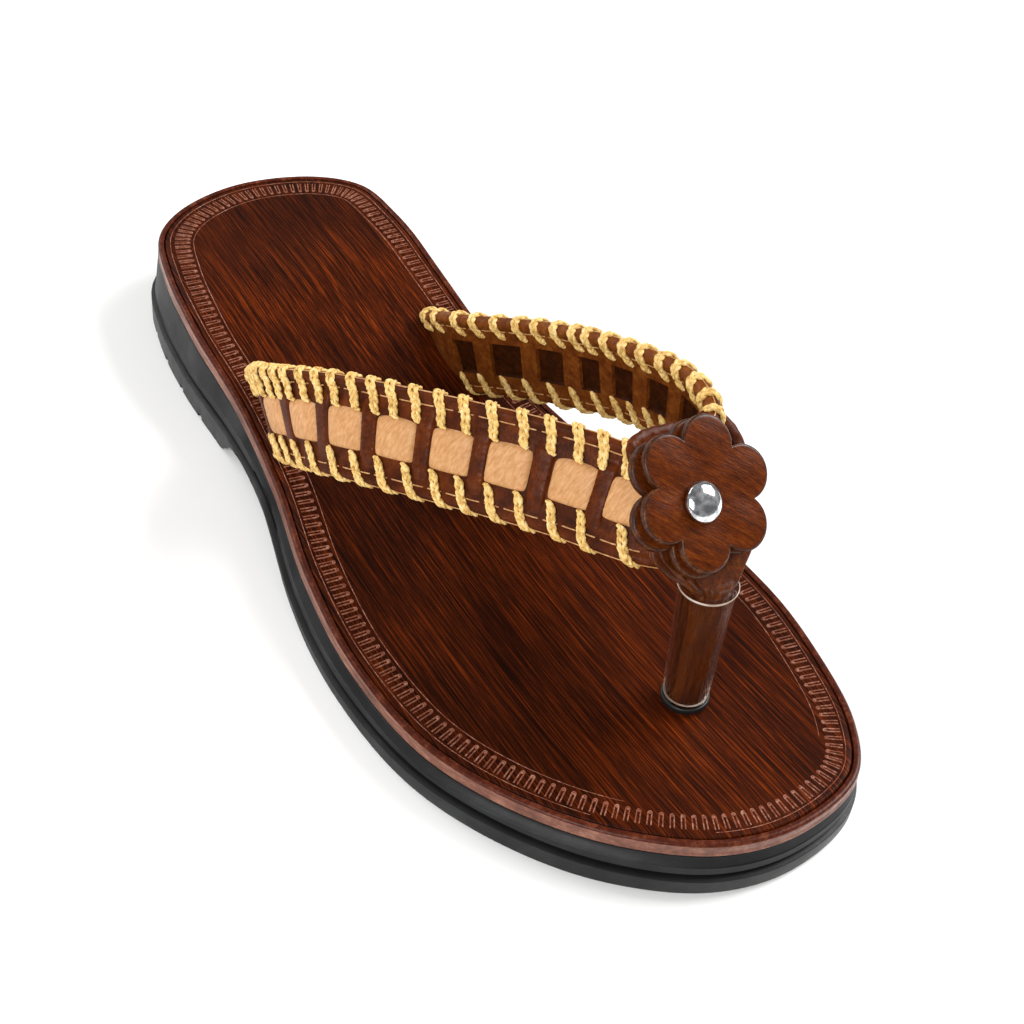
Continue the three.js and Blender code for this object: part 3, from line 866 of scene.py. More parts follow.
class Ribbon:
    """A strap's centre line with its widths and leans, from root to joint."""

    def __init__(self, last: Last, table: list[Row], inward: int) -> None:
        """Sample the ribbon.

        Args:
            last: The last that the strap belongs to.
            table: Rows of along, across, up, lean and width.
            inward: 1 for the lateral strap and -1 for the medial one.
        """
        points = np.array(
            [(row["across"] * last.ball, last.y_at(row["along"]), row["up"] * last.instep) for row in table]
        )
        steps = 90
        line = spline(points, False, steps)
        self.run = np.r_[0, np.cumsum(np.linalg.norm(np.diff(line, axis=0), axis=1))]
        self.length = float(self.run[-1])
        ahead = unit(np.gradient(line, axis=0))
        spans = len(table) - 1
        turns = [{"at": i / spans, "lean": row["lean"], "width": row["width"]} for i, row in enumerate(table)]
        at = np.linspace(0, 1, len(line))
        lean = np.radians(column(turns, "at", "lean", at))[:, None]
        self.width = column(turns, "at", "width", at)
        up = unit(np.array([0.0, 0.0, 1.0]) - ahead * ahead[:, 2:])
        over = np.cross(up, ahead) * inward
        self.ahead = ahead
        self.wide = up * np.cos(lean) + over * np.sin(lean)
        self.face = np.cross(ahead, self.wide) * inward
        self.line = line + last.shift

    def place(self, distance: Array, across: Array, deep: Array) -> Array:
        """Place points on the strap.

        Args:
            distance: Distance from the root; it may run a little past either end.
            across: Distance up from the centre line.
            deep: Distance out of the strap's outer face from its middle.

        Returns:
            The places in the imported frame.
        """
        at = np.clip(distance, 0, self.length)

        def read(source: Array) -> Array:
            """Read three columns at the distances."""
            return np.stack([np.interp(at, self.run, source[:, k]) for k in range(3)], 1)

        width = np.interp(at, self.run, self.width)
        past = (np.asarray(distance) - at)[:, None]
        spot = read(self.line) + read(self.ahead) * past
        spot = spot + read(self.wide) * (across * width)[:, None]
        return spot + read(self.face) * np.asarray(deep)[:, None]


@dataclass
class Hub:
    """The places that the post, the gather and the flower share."""

    last: Last
    post_height: float = 35.7
    post_lean: float = 1.9
    knee: float = 7.0
    stack: float = 4.4
    clear_radius: float = 18.0
    flower_turn: float = 2.0
    flower_tilt: float = 43.0

    def __post_init__(self) -> None:
        """Find the post's ends, the joint and the flower's frame."""
        last = self.last
        y = last.y_at(0.844)
        self.foot = np.array([0.102 * last.ball, y, float(last.top(np.array(y))) - 0.2]) + last.shift
        self.crest = self.foot + np.array([0, self.post_lean, self.post_height])
        self.axis = (self.crest - self.foot) / np.linalg.norm(self.crest - self.foot)
        self.length = float(np.linalg.norm(self.crest - self.foot))
        self.joint = np.array([0.1 * last.ball, last.y_at(0.797), 0.97 * last.instep]) + last.shift
        self.flower = np.array([0.102 * last.ball, last.y_at(0.8115), 1.095 * last.instep]) + last.shift
        turn = Matrix.Rotation(math.radians(self.flower_turn), 3, "Z")
        self.turn = np.array(turn @ Matrix.Rotation(math.radians(self.flower_tilt), 3, "X"))
        self.normal = self.turn[:, 2]

    def behind(self, points: Array) -> Array:
        """Push points that would stand in the flower back to the plane behind it.

        Args:
            points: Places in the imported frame.

        Returns:
            The places, pushed back where they have to be.
        """
        depth = (points - self.flower) @ self.normal
        flat = points - self.flower - np.outer(depth, self.normal)
        near = 1 - smooth(self.clear_radius, self.clear_radius + 2.5, np.linalg.norm(flat, axis=1))
        return points - np.outer(np.maximum(depth + self.stack, 0) * near, self.normal)

    def on_flower(self, x: Array, y: Array, z: Array) -> Array:
        """Place points of the flower's own frame."""
        return self.flower + np.c_[x, y, z] @ self.turn.T

    def on_post(self, angle: Array, radius: Array, height: Array) -> Array:
        """Place points round the post's axis.

        Args:
            angle: Angles about the axis, in radians.
            radius: Distances from the axis.
            height: Heights along the axis from the footbed.

        Returns:
            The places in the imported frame.
        """
        side = np.cross(self.axis, [0.0, -1.0, 0.0])
        side /= np.linalg.norm(side)
        front = np.cross(side, self.axis)
        turned = np.outer(np.cos(angle) * radius, side) + np.outer(np.sin(angle) * radius, front)
        return self.foot + turned + np.outer(height, self.axis)


@dataclass
class Sole:
    """The black rubber unit."""

    last: Last
    tread: float = 0.5
    seat_drop: float = 3.7
    seat_inset: float = 0.9
    foot_round: float = 0.6
    channel: float = 2.4
    channel_depth: float = 1.6
    channel_reach: float = 80.0
    heel_channels: tuple[float, ...] = (57.7, 70.2, 82.7, 95.2, 107.7)
    fore_first: float = -33.0
    fore_pitch: float = 12.5
    fore_count: int = 6
    fore_inside: float = 9.0

    def build(self) -> None:
        """Make the unit from its side wall, its two faces and its tread channels."""
        last = self.last
        count = 17

        def wall(u: Array, v: Array) -> Array:
            """Place points on the side wall, from its foot past the groove to the seat.

            Args:
                u: Station numbers.
                v: Row numbers.

            Returns:
                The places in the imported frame.
            """
            y = last.edge(u)[1]
            flare = last.flare(y, last.side(u))
            foot = flare + self.tread
            low, mid, high = last.bottom(y), last.groove(y), last.top(y) - self.seat_drop
            toe = smooth(0.72, 0.86, last.share(y)) * 0.35
            line = np.minimum(mid + 2.6, high - 1.6)
            out = [foot - self.foot_round, foot - 0.3, foot - 0.08, foot, foot - 0.15, foot - 0.4]
            up = [low, low + 0.08, low + 0.3, low + 0.6, mid - 0.7, mid - 0.55]
            out += [0.8 * flare - 1.1, 0.75 * flare - 1.1, 0.75 * flare - 0.25, 0.75 * flare]
            up += [mid - 0.55, mid + 0.55, mid + 0.55, mid + 0.75]
            out += [0.64 * flare, 0.64 * flare - toe, 0.6 * flare, 0.2 * flare, 0.2 * flare - 0.2]
            up += [line - 0.25, line, line + 0.25, high - 0.6, high - 0.2]
            out += [0.2 * flare - 0.6, 0.2 * flare - self.seat_inset]
            up += [high, high]
            row = np.clip(v.astype(int), 0, count - 1)
            spot = np.arange(len(row))
            heights = np.stack(up)[row, spot]
            return last.ring(u, np.stack(out)[row, spot], lambda _: heights)

        def foot(at: Array) -> Array:
            """Tell how far the wall's foot stands out from the outline at station numbers."""
            return last.flare(last.edge(at)[1], last.side(at)) + self.tread - self.foot_round

        def rim(at: Array) -> Array:
            """Tell how far the seat's edge stands out from the outline at station numbers."""
            return 0.2 * last.flare(last.edge(at)[1], last.side(at)) - self.seat_inset

        side = sheet_of("sole_unit", range(last.stations + 1), range(count), wall)
        under = last.face("under", 25, foot, last.bottom)
        over = last.face("over", 25, rim, lambda y: last.top(y) - self.seat_drop)
        unit_mesh = join("sole_unit", [side, under, over])
        clean(unit_mesh, 0.01)
        self.cut(unit_mesh)
        soften(unit_mesh, 32)
        dress(unit_mesh, [Finishes.RUBBER], ["outsole"])

    def cut(self, unit_mesh: bpy.types.Object) -> None:
        """Cut the tread channels across the underside.

        Args:
            unit_mesh: The sole unit.
        """
        last = self.last
        places = [(y, None) for y in self.heel_channels]
        places += [(self.fore_first - self.fore_pitch * k, self.fore_inside) for k in range(self.fore_count)]
        bars = []
        for y, inside in places:
            at = 0.5 - y / last.length
            low, high = -self.channel_reach, self.channel_reach
            if inside is not None:
                low = -float(column(last.outline, "along", "lateral", at)) * last.ball + inside
                high = float(column(last.outline, "along", "medial", at)) * last.ball - inside
            deselect()
            middle = Vector(((low + high) / 2, y, float(last.bottom(np.array(y))))) + Vector(last.shift)
            bpy.ops.mesh.primitive_cube_add(size=1, location=middle * MM)
            bar = newest("channel")
            bar.scale = ((high - low) * MM, self.channel * MM, 2 * self.channel_depth * MM)
            bpy.ops.object.transform_apply(location=True, rotation=True, scale=True)
            bars.append(bar)
        cutter = join("channels", bars)
        modifier = unit_mesh.modifiers.new("channels", "BOOLEAN")
        modifier.operation = "DIFFERENCE"
        modifier.solver = "EXACT"
        modifier.object = cutter
        apply_all(unit_mesh)
        bpy.data.objects.remove(cutter, do_unlink=True)


@dataclass
class Footbed:
    """The varnished footbed with its tooled border and its edge binding."""

    last: Last
    drop: float = 0.2
    band: float = 3.4
    face: float = -2.1
    rung_pitch: float = 2.42
    rung_half: float = 0.42
    rung_radius: float = 0.21
    dot_radius: float = 0.34
    line_radius: float = 0.13
    ridge_row: float = 8.9

    def build(self) -> None:
        """Make the cover, the border and the binding."""
        self.cover()
        self.border()
        self.binding()

    def cover(self) -> None:
        """Make the footbed's cover as a closed board that follows the last."""
        last = self.last
        wall = -last.inset
        profile = [(wall, self.band), (wall, 0.7), (-1.68, 0.48), (-1.85, 0.3), (self.face, self.drop)]

        def level(out: float) -> Reader:
            """Keep one distance from the outline at every station."""
            return lambda at: np.full(len(at), out)

        side = last.hem("side", profile)
        over = last.face("over", 41, level(self.face), lambda y: last.top(y) - self.drop)
        under = last.face("under", 41, level(wall), lambda y: last.top(y) - self.band)
        cover = join("footbed_cover", [side, over, under])
        clean(cover, 0.01)
        soften(cover, 50)
        dress(cover, [Finishes.FOOTBED], ["footbed"])

    def border(self) -> None:
        """Tool the border: hairpin rungs, a dot at each one's inner end, and a fine line on either side."""
        last = self.last
        stations = last.every(self.rung_pitch)
        share = last.share(last.edge(stations)[1])
        heel = 1 - smooth(0.05, 0.3, share)
        outer = 3.6 + 0.6 * heel
        inner = 6.9 + 0.9 * heel - 0.2 * smooth(0.8, 0.95, share)
        # The rungs, dots and lines take the border finish, whose light rosy colour is a painted highlight on
        # the raised tooling
        self.rungs(stations, outer, inner)
        self.dots(self.on_top(stations, inner - 0.05, 0.0))
        self.lines()

    def rungs(self, stations: Array, outer: Array, inner: Array) -> None:
        """Lay the hairpin rungs.

        Args:
            stations: The rungs' station numbers.
            outer: How far in from the outline each rung starts.
            inner: How far in from the outline it bends.
        """
        step = self.last.stations / self.last.run[-1]
        turn = np.linspace(0, math.pi, 7)
        side = np.r_[-1, -np.cos(turn), 1] * self.rung_half
        paths = []
        for at, start, end in zip(stations, outer, inner):
            depth = np.r_[start, end + np.sin(turn) * self.rung_half, start]
            paths.append(self.on_top(at + side * step, depth, 0.02))
        dress(cords("border_rungs", paths, self.rung_radius), [Finishes.BORDER])

    def dots(self, places: Array) -> None:
        """Model one flat dot and copy it to every place.

        Args:
            places: The dots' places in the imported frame.
        """
        deselect()
        bpy.ops.mesh.primitive_uv_sphere_add(segments=8, ring_count=5, radius=self.dot_radius * MM)
        first = newest("dot")
        first.scale = (1, 1, 0.6)
        bpy.ops.object.transform_apply(location=False, rotation=False, scale=True)
        copies = [first]
        for place in places[1:]:
            copy = first.copy()
            copy.data = first.data.copy()
            bpy.context.scene.collection.objects.link(copy)
            copy.location = Vector(place) * MM
            copies.append(copy)
        first.location = Vector(places[0]) * MM
        pick(first)
        for copy in copies:
            copy.select_set(True)
        bpy.ops.object.transform_apply(location=True, rotation=False, scale=False)
        studs = join("border_dots", copies)
        soften(studs, 60)
        dress(studs, [Finishes.BORDER])

    def lines(self) -> None:
        """Draw the fine lines inside and outside the rungs."""
        last = self.last
        at = np.linspace(0, last.stations, last.stations + 1)
        inset = 8.3 + 0.9 * (1 - smooth(0.05, 0.3, last.share(last.edge(at)[1])))
        inside = self.on_top(at, inset, -0.02)
        outside = self.on_top(at, np.full(len(at), 3.0), -0.02)
        lines = cords("border_line", [inside, outside], self.line_radius)
        dress(lines, [Finishes.BORDER])

    def on_top(self, at: Array, inset: Array, lift: float) -> Array:
        """Place points on the footbed's top.

        Args:
            at: Station numbers.
            inset: Distances in from the outline.
            lift: The height over the top.

        Returns:
            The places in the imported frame.
        """
        last = self.last
        placed = last.ring(at, -inset, lambda y: y)
        placed[:, 2] = last.top(placed[:, 1] - last.shift[1]) - self.drop + lift
        return placed

    def binding(self) -> None:
        """Wrap the edge band round the board, with a polished ridge on top and a bead at its foot."""
        profile = [(-1.3, 3.4), (0.3, 3.4), (0.46, 3.24), (0.5, 2.99), (0.42, 2.68), (0.25, 2.45)]
        profile += [(0.24, 1.9), (0.3, 1.2), (0.3, 0.85), (0.24, 0.5), (0, 0.17), (-0.2, 0.03)]
        profile += [(-0.52, 0), (-0.95, 0.05), (-1.3, 0.2), (-1.3, 3.4)]

        def parts(u: Array, v: Array) -> Array:
            """Give the ridge on top its own finish."""
            return np.where(v > self.ridge_row, 1, 0)

        band = self.last.hem("edge_binding", profile, parts)
        clean(band, 0.005)
        soften(band, 40)
        dress(band, [Finishes.EDGE, Finishes.RIDGE], ["edge_band"])


@dataclass
class Strap:
    """One woven strap: a wall with rolled edges, puffy squares under crossbars, cords and running thread."""

    name: str
    ribbon: Ribbon
    hub: Hub
    squares: tuple[float, ...]
    windows: tuple[float, ...]
    shear: float
    upper: tuple[float, ...]
    lower: tuple[float, ...]
    windows_half: tuple[float, ...] = ()
    back_lean: float = 1.0
    half: float = 11.5
    wall: float = 1.3
    roll: float = 1.7
    sink: float = 0.8
    square_half: float = 5.1
    square_high: float = 4.55
    window_high: float = 4.7
    root_at: float = 9.0
    root_cut: float = 3.0
    ply: float = 0.4
    twist: float = 3.2
    short: float = 1.6
    thread: float = 0.15
    dash: float = 3.4
    stitch: float = 4.6

    def build(self) -> None:
        """Make all of the strap's pieces."""
        self.strip()
        self.pads()
        self.bars()
        self.whips()
        self.threads()

    def put(self, distance: Array, across: Array, deep: Array) -> Array:
        """Place points on the strap, kept behind the flower."""
        return self.hub.behind(self.ribbon.place(distance, across, deep))

    def window_half(self, middle: float) -> float:
        """Half a window's length."""
        if self.windows_half:
            return self.windows_half[self.windows.index(middle)]
        return 4.9 - 1.5 * middle / 110

    def slot(self) -> tuple[Vector, float]:
        """Find where the strap's root is cut off inside its slot.

        Returns:
            A place under the footbed's edge, and the footbed's slope there.
        """
        last = self.hub.last
        reach = 8
        at = self.ribbon.place(np.array([self.root_at]), np.zeros(1), np.zeros(1))[0] - last.shift
        heights = last.top(np.array([at[1] - reach, at[1], at[1] + reach]))
        spot = np.array([at[0], at[1], float(heights[1]) - self.root_cut]) + last.shift
        return Vector(spot), float(heights[2] - heights[0]) / (2 * reach)

    def strip(self) -> None:
        """Make the wall, with windows sunk in its lining."""
        half, wall, roll = self.half, self.wall, self.roll
        top = [(0, wall), (5.3, wall), (6.1, wall), (8.7, wall), (9.2, 1.44), (9.7, 1.64), (10.2, roll)]
        top += [(10.7, 1.56), (11.1, 1.24), (11.4, 0.7), (half, 0)]
        down = [(11.4, -0.7), (11.1, -1.24), (10.7, -1.56), (10.2, -roll), (9.7, -1.64), (9.2, -1.44)]
        down += [(8.7, -wall), (self.window_high + 0.15, -wall), (self.window_high - 0.15, -wall), (0, -wall)]
        right = top + down
        left = [(-a, d) for a, d in reversed(right[:-1])]
        profile = right + left
        floor = len(right) - 1
        marks = set(np.arange(0, self.ribbon.length + 0.01, 0.9).tolist()) | {self.ribbon.length}
        for middle in self.windows:
            for side in (-1, 1):
                edge = middle + side * self.window_half(middle)
                marks |= {edge - 0.12, edge + 0.12}
        us = sorted(mark for mark in marks if 0 <= mark <= self.ribbon.length)

        def within(u: Array) -> Array:
            """Tell which distances lie in a window.

            Args:
                u: Distances from the root.

            Returns:
                1 in a window and 0 elsewhere.
            """
            found = np.zeros(len(u))
            for middle in self.windows:
                found = np.maximum(found, 1.0 * (np.abs(u - middle) < self.window_half(middle)))
            return found

        def place(u: Array, v: Array) -> Array:
            """Place points on the wall.

            Args:
                u: Distances from the root.
                v: Row numbers of the profile.

            Returns:
                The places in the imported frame.
            """
            across, deep = between(profile, v)
            sunk = np.where(np.abs(v - floor) < 1.5, within(u) * self.sink, 0)
            ends = smooth(4, 16, u) * (1 - smooth(self.ribbon.length - 22, self.ribbon.length - 8, u))
            return self.put(u + self.shear * across * ends, across, deep + sunk)

        def parts(u: Array, v: Array) -> Array:
            """Give the lining and the windows' floors their own finishes.

            Args:
                u: Distances from the root.
                v: Row numbers of the profile.

            Returns:
                Material numbers.
            """
            window = (np.abs(v - floor) < 1.9) & (within(u) > 0)
            back = (v > 9) & (v < len(profile) - 10)
            return np.where(window, 2, np.where(back, 1, 0))

        strip = sheet_of(f"{self.name}_wall", us, range(len(profile)), place, parts)
        clean(strip, 0.004)
        spot, slope = self.slot()
        edit_all(strip)
        bpy.ops.mesh.fill_holes(sides=0)
        bpy.ops.mesh.select_all(action="SELECT")
        bpy.ops.mesh.bisect(plane_co=spot * MM, plane_no=(0, -slope, 1), use_fill=True, clear_inner=True)
        close_edit()
        soften(strip, 38)
        dress(strip, [Finishes.STRAP, Finishes.LINING, Finishes.WINDOW], ["upper"])

    def pads(self) -> None:
        """Puff up the tan squares."""
        pieces = []
        grid = np.linspace(-1, 1, 21)
        for middle in self.squares:

            def place(u: Array, v: Array, middle: float = middle) -> Array:
                """Place points on one square.

                Args:
                    u: Shares of its half length.
                    v: Shares of its half height.
                    middle: Its distance from the root.

                Returns:
                    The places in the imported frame.
                """
                round_u = u * np.sqrt(1 - 0.13 * v**6)
                round_v = v * np.sqrt(1 - 0.13 * u**6)
                high = np.clip(1 - np.abs(u) ** 7, 0, 1) ** 0.5 * np.clip(1 - np.abs(v) ** 7, 0, 1) ** 0.5
                puff = 0.5 * (1 - u * u) * (1 - v * v)
                deep = self.wall - 0.25 + 0.95 * high + puff
                crown = 0.5 * (1 - u * u) * np.maximum(v, 0) ** 3
                return self.put(middle + round_u * self.square_half, round_v * self.square_high + crown, deep)

            pieces.append(sheet_of("square", grid, grid, place))
        pads = join(f"{self.name}_squares", pieces)
        clean(pads, 0.001)
        soften(pads, 50)
        dress(pads, [Finishes.TAN])

    def bars(self) -> None:
        """Lay the glossy crossbars between the squares, with fine wrinkles across them."""
        pieces = []
        centres = [(a + b) / 2 for a, b in zip(self.squares[:-1], self.squares[1:])]
        centres.insert(0, self.squares[0] - 7.2)
        rng = random.Random(7)
        for middle in centres:
            phase = rng.uniform(0, 6.28)
            half = 2.2 + rng.uniform(-0.1, 0.1)
            spec = (middle, phase, half)

            def place(u: Array, v: Array, spec: Point = spec) -> Array:
                """Place points on one bar.

                Args:
                    u: Shares of its half width.
                    v: Shares of its half height.
                    spec: Its distance from the root, its wrinkles' phase and its half width.

                Returns:
                    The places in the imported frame.
                """
                middle, phase, half = spec
                end = np.clip(1 - np.abs(v) ** 9, 0, 1) ** 0.5
                arch = np.clip(1 - np.abs(u) ** 5, 0, 1) ** 0.5
                waves = 0.03 * np.sin(v * 31 + phase + 1.1 * u) * arch * end
                waves += 0.035 * np.sin(v * 47 + 2 * phase - 1.7 * u) * arch * end
                deep = self.wall - 0.3 + 1.05 * arch * end + waves
                narrow = 1 + 0.12 * np.abs(v) ** 3
                low = 0.62 * smooth(0.5, 0.8, np.abs(v))
                return self.put(middle + u * half * narrow, v * 9.0, deep - low)

            pieces.append(sheet_of("bar", np.linspace(-1, 1, 13), np.linspace(-1, 1, 61), place))
        bars = join(f"{self.name}_crossbars", pieces)
        clean(bars, 0.001)
        soften(bars, 50)
        dress(bars, [Finishes.BAR])

    def whips(self) -> None:
        """Whip both edges with two twisted plies side by side, whose turns meet in a V."""
        section = [(4.7, 1.5), (5.3, 1.95), (8.6, 1.75), (10.2, 2.05), (11.35, 1.4), (11.75, 0)]
        section = np.array(section + [(11.35, -1.4), (10.2, -2.05), (8.6, -1.65), (5.6, -1.6), (5.1, -1.2)])
        upper = section.copy()
        upper[-2:, 0] += self.short
        paths = []
        rng = random.Random(21)
        edges = ((self.upper, 1, upper, 3.2, self.back_lean), (self.lower, -1, section, -4.8, -3.4))
        for places, side, points, lean_out, lean_in in edges:
            loop = spline(points, False, 5)
            share = np.linspace(-1, 1, len(loop))
            run = np.r_[0, np.cumsum(np.linalg.norm(np.diff(loop, axis=0), axis=1))]
            out = np.gradient(loop, axis=0)
            out = np.c_[-out[:, 1], out[:, 0]] / np.linalg.norm(out, axis=1)[:, None]
            out *= np.where(out[:, :1] * loop[:, :1] + out[:, 1:] * loop[:, 1:] < 0, -1, 1)
            for place in places:
                jitter = rng.uniform(-0.25, 0.25)
                shift = place - min(lean_out, 0) + jitter
                along = shift + lean_out * np.maximum(-share, 0) + lean_in * np.maximum(share, 0)
                fade = np.clip(np.minimum(run, run[-1] - run) / 0.9, 0.45, 1)
                narrow = 1.0 - 0.25 * np.abs(share)
                for ply in (-1, 1):
                    for strand in (0, math.pi):
                        turn = ply * (run * TURN / self.twist + jitter * 3) + strand
                        swing = (0.6 * ply * narrow + np.cos(turn) * 0.28) * fade
                        lift = np.sin(turn) * 0.24 * fade
                        spots = loop + out * lift[:, None]
                        paths.append(self.put(along + swing, spots[:, 0] * side, spots[:, 1]))
        dress(cords(f"{self.name}_whips", paths, self.ply), [Finishes.CORD])

    def threads(self) -> None:
        """Sew the running dashes inside both edges and lay a fine thread at the very edge."""
        dashes = []
        for side in (-1, 1):
            for deep in (self.wall + 0.05, -self.wall - 0.05):
                at = 6.0
                while at < self.ribbon.length - 8:
                    span = np.linspace(at, at + self.dash, 7)
                    sag = 0.18 * np.cos(np.linspace(-1, 1, 7) * math.pi / 2) - 0.05
                    dashes.append(self.put(span, np.full(7, 8.75 * side), deep + np.sign(deep) * sag))
                    at += self.stitch
            span = np.arange(0, self.ribbon.length, 1.2)
            dashes.append(self.put(span, np.full(len(span), 11.42 * side), np.full(len(span), 0.75)))
        dress(cords(f"{self.name}_threads", dashes, self.thread), [Finishes.THREAD])


@dataclass
class Post:
    """The rolled leather post, its sleeve, its seat ring and the gathered leather above it."""

    hub: Hub
    root: float = 3.2
    low: float = 3.9
    high: float = 4.9
    sleeve: float = 0.7
    flare: float = 0.4
    start: float = 2.8
    play: float = 0.3

    def radius(self, share: Array) -> Array:
        """The post's radius at a share of its height."""
        return self.low + (self.high - self.low) * np.asarray(share)

    def inside(self, share: float) -> float:
        """The sleeve's inner radius at a share of the post's height."""
        return self.radius(share) + self.play

    def outside(self, share: float) -> float:
        """The sleeve's outer radius at a share of the post's height."""
        return self.inside(share) + self.sleeve

    def turned(
        self, name: str, profile: Sequence[tuple[float, float]], parts: Place | None = None
    ) -> bpy.types.Object:
        """Turn a profile about the post's axis.

        Args:
            name: The piece's name.
            profile: Pairs of the radius and the height from the footbed.
            parts: Gives each face's material number.

        Returns:
            The piece.
        """

        def place(u: Array, v: Array) -> Array:
            """Place points round the axis.

            Args:
                u: Shares of a full turn.
                v: Row numbers of the profile.

            Returns:
                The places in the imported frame.
            """
            radius, up = between(profile, v)
            return self.hub.on_post(u * TURN, radius, up)

        return sheet_of(name, np.linspace(0, 1, 65), range(len(profile)), place, parts)

    def build(self) -> None:
        """Make the post's pieces."""
        self.core()
        self.cover()
        self.seat()
        self.gather()

    def core(self) -> None:
        """Roll the post's leather, with a lap seam and fine folds along it."""
        hub = self.hub
        ends = [(0, -self.root), (1, -self.root), (1, 0)]
        ends += [(1, hub.length * k / 24) for k in range(1, 24)]
        ends += [(1, hub.length - 0.2), (0.85, hub.length), (0, hub.length)]

        def place(u: Array, v: Array) -> Array:
            """Place points on the post.

            Args:
                u: Shares of a full turn.
                v: Row numbers of the ends.

            Returns:
                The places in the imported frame.
            """
            share, up = between(ends, v)
            angle = u * TURN
            full = self.radius(np.clip(up / hub.length, 0, 1))
            turn = np.mod(angle + 0.012 * up - 1.05, TURN) / TURN
            lap = -0.42 * np.exp(-((turn - 0.5) / 0.02) ** 2) + 0.2 * np.exp(-((turn - 0.455) / 0.03) ** 2)
            folds = 0.1 * np.sin(angle * 9 + 0.05 * up) + 0.07 * np.sin(angle * 17 + 1.3 - 0.04 * up)
            return hub.on_post(angle, share * (full - 0.12 + (lap + folds) * (share > 0.5)), up)

        core = sheet_of("post_core", np.linspace(0, 1, 121), range(len(ends)), place)
        clean(core)
        soften(core, 60)
        dress(core, [Finishes.POST], ["toe_post"])

    def cover(self) -> None:
        """Slip the clear sleeve over the post, with a rim at each end."""
        start, inside, outside = self.start, self.inside, self.outside
        rim = self.hub.length - 1
        body = rim - 4.2 - start
        profile = [(inside(0.08), start), (outside(0.05) - 0.12, start), (outside(0.05), start + 0.15)]
        profile += [(outside(0.1), start + 1.2)]
        profile += [(outside(0.1 + 0.16 * k), start + 1.2 + body * k / 5) for k in range(1, 6)]
        profile += [(outside(1) + self.flare - 0.1, rim - 0.5), (outside(1) + self.flare, rim - 0.2)]
        profile += [(outside(1) + self.flare - 0.15, rim), (inside(1) + 0.1, rim), (inside(1), rim - 0.2)]
        profile += [(inside(0.8), rim * 0.8), (inside(0.5), rim * 0.5), (inside(0.08), start)]

        def parts(u: Array, v: Array) -> Array:
            """Give the sleeve's ends the pale finish of a painted highlight."""
            return np.where((v < 0.9) | ((v > 9.1) & (v < 10.9)), 1, 0)

        sleeve = self.turned("clear_sleeve", profile, parts)
        clean(sleeve)
        soften(sleeve, 35)
        dress(sleeve, [Finishes.SLEEVE, Finishes.LIP_HIGHLIGHT], ["post_sleeve"])

    def seat(self) -> None:
        """Set the rubber ring at the post's foot."""

        def square(value: float) -> float:
            """Square up a circle's sine or cosine a little."""
            return np.sign(value) * abs(value) ** 0.6

        turn = np.linspace(0, TURN, 17)
        profile = [(4.9 + 0.4 * square(math.cos(a)), 1.4 + 0.8 * square(math.sin(a))) for a in turn]
        ring = self.turned("seat_ring", profile)
        clean(ring)
        soften(ring, 50)
        dress(ring, [Finishes.SEAT], ["post_seat"])

    def gather(self) -> None:
        """Gather the straps' leather in folds that run down into the sleeve."""
        hub = self.hub
        start = hub.crest - 0.6 * hub.axis
        knee = hub.crest + hub.knee * hub.axis
        sizes = rows(
            "share across deep",
            (0, 5.1, 5.1),
            (0.1, 6.0, 5.5),
            (0.4, 10, 6.2),
            (0.7, 12.4, 5.6),
            (1, 12, 4.8),
            (1.3, 9, 3.4),
            (1.45, 6, 2.2),
            (1.5, 0.3, 0.2),
        )
        folds = rows(
            "turn deep wide",
            (0.9, 0.5, 0.16),
            (2.2, 0.5, 0.16),
            (3.25, 0.9, 0.09),
            (3.7, 1.3, 0.08),
            (4.15, 1.0, 0.07),
            (4.6, 0.7, 0.07),
            (5.3, 0.8, 0.1),
            (5.95, 1.0, 0.1),
        )

        def place(u: Array, v: Array) -> Array:
            """Place points on the gathered leather.

            Args:
                u: Shares of a full turn.
                v: Shares of the way from the post to the joint, and past it.

            Returns:
                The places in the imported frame.
            """
            t = np.clip(v, 0, 1)[:, None]
            spot = (1 - t) ** 2 * start + 2 * t * (1 - t) * knee + t**2 * hub.joint
            ahead = unit(2 * (1 - t) * (knee - start) + 2 * t * (hub.joint - knee))
            spot = spot + np.maximum(v - 1, 0)[:, None] * (hub.joint - knee)
            wide = unit(np.array([1.0, 0, 0]) - ahead * ahead[:, :1])
            deep = np.cross(ahead, wide)
            angle = u * TURN
            crease = np.zeros(len(u))
            for fold in folds:
                bend = fold["turn"] + 0.35 * np.sin(v * 2.2 + fold["turn"])
                gap = np.abs(np.mod(angle - bend + math.pi, TURN) - math.pi)
                ridge = np.exp(-(((gap - 1.8 * fold["wide"]) / (0.8 * fold["wide"])) ** 2))
                depth = fold["deep"] * smooth(-0.15, 0.4, v) * (1 - smooth(0.5, 0.9, v))
                crease += depth * (0.45 * ridge - 1.35 * np.exp(-((gap / fold["wide"]) ** 2)))
            ax = column(sizes, "share", "across", v) + crease
            dx = column(sizes, "share", "deep", v) + crease
            placed = spot + wide * (np.cos(angle) * ax)[:, None] + deep * (np.sin(angle) * dx)[:, None]
            return hub.behind(placed)

        gather = sheet_of("post_gather", np.linspace(0, 1, 241), np.linspace(0, 1.5, 61), place)
        clean(gather)
        soften(gather, 60)
        dress(gather, [Finishes.POST], ["upper"])


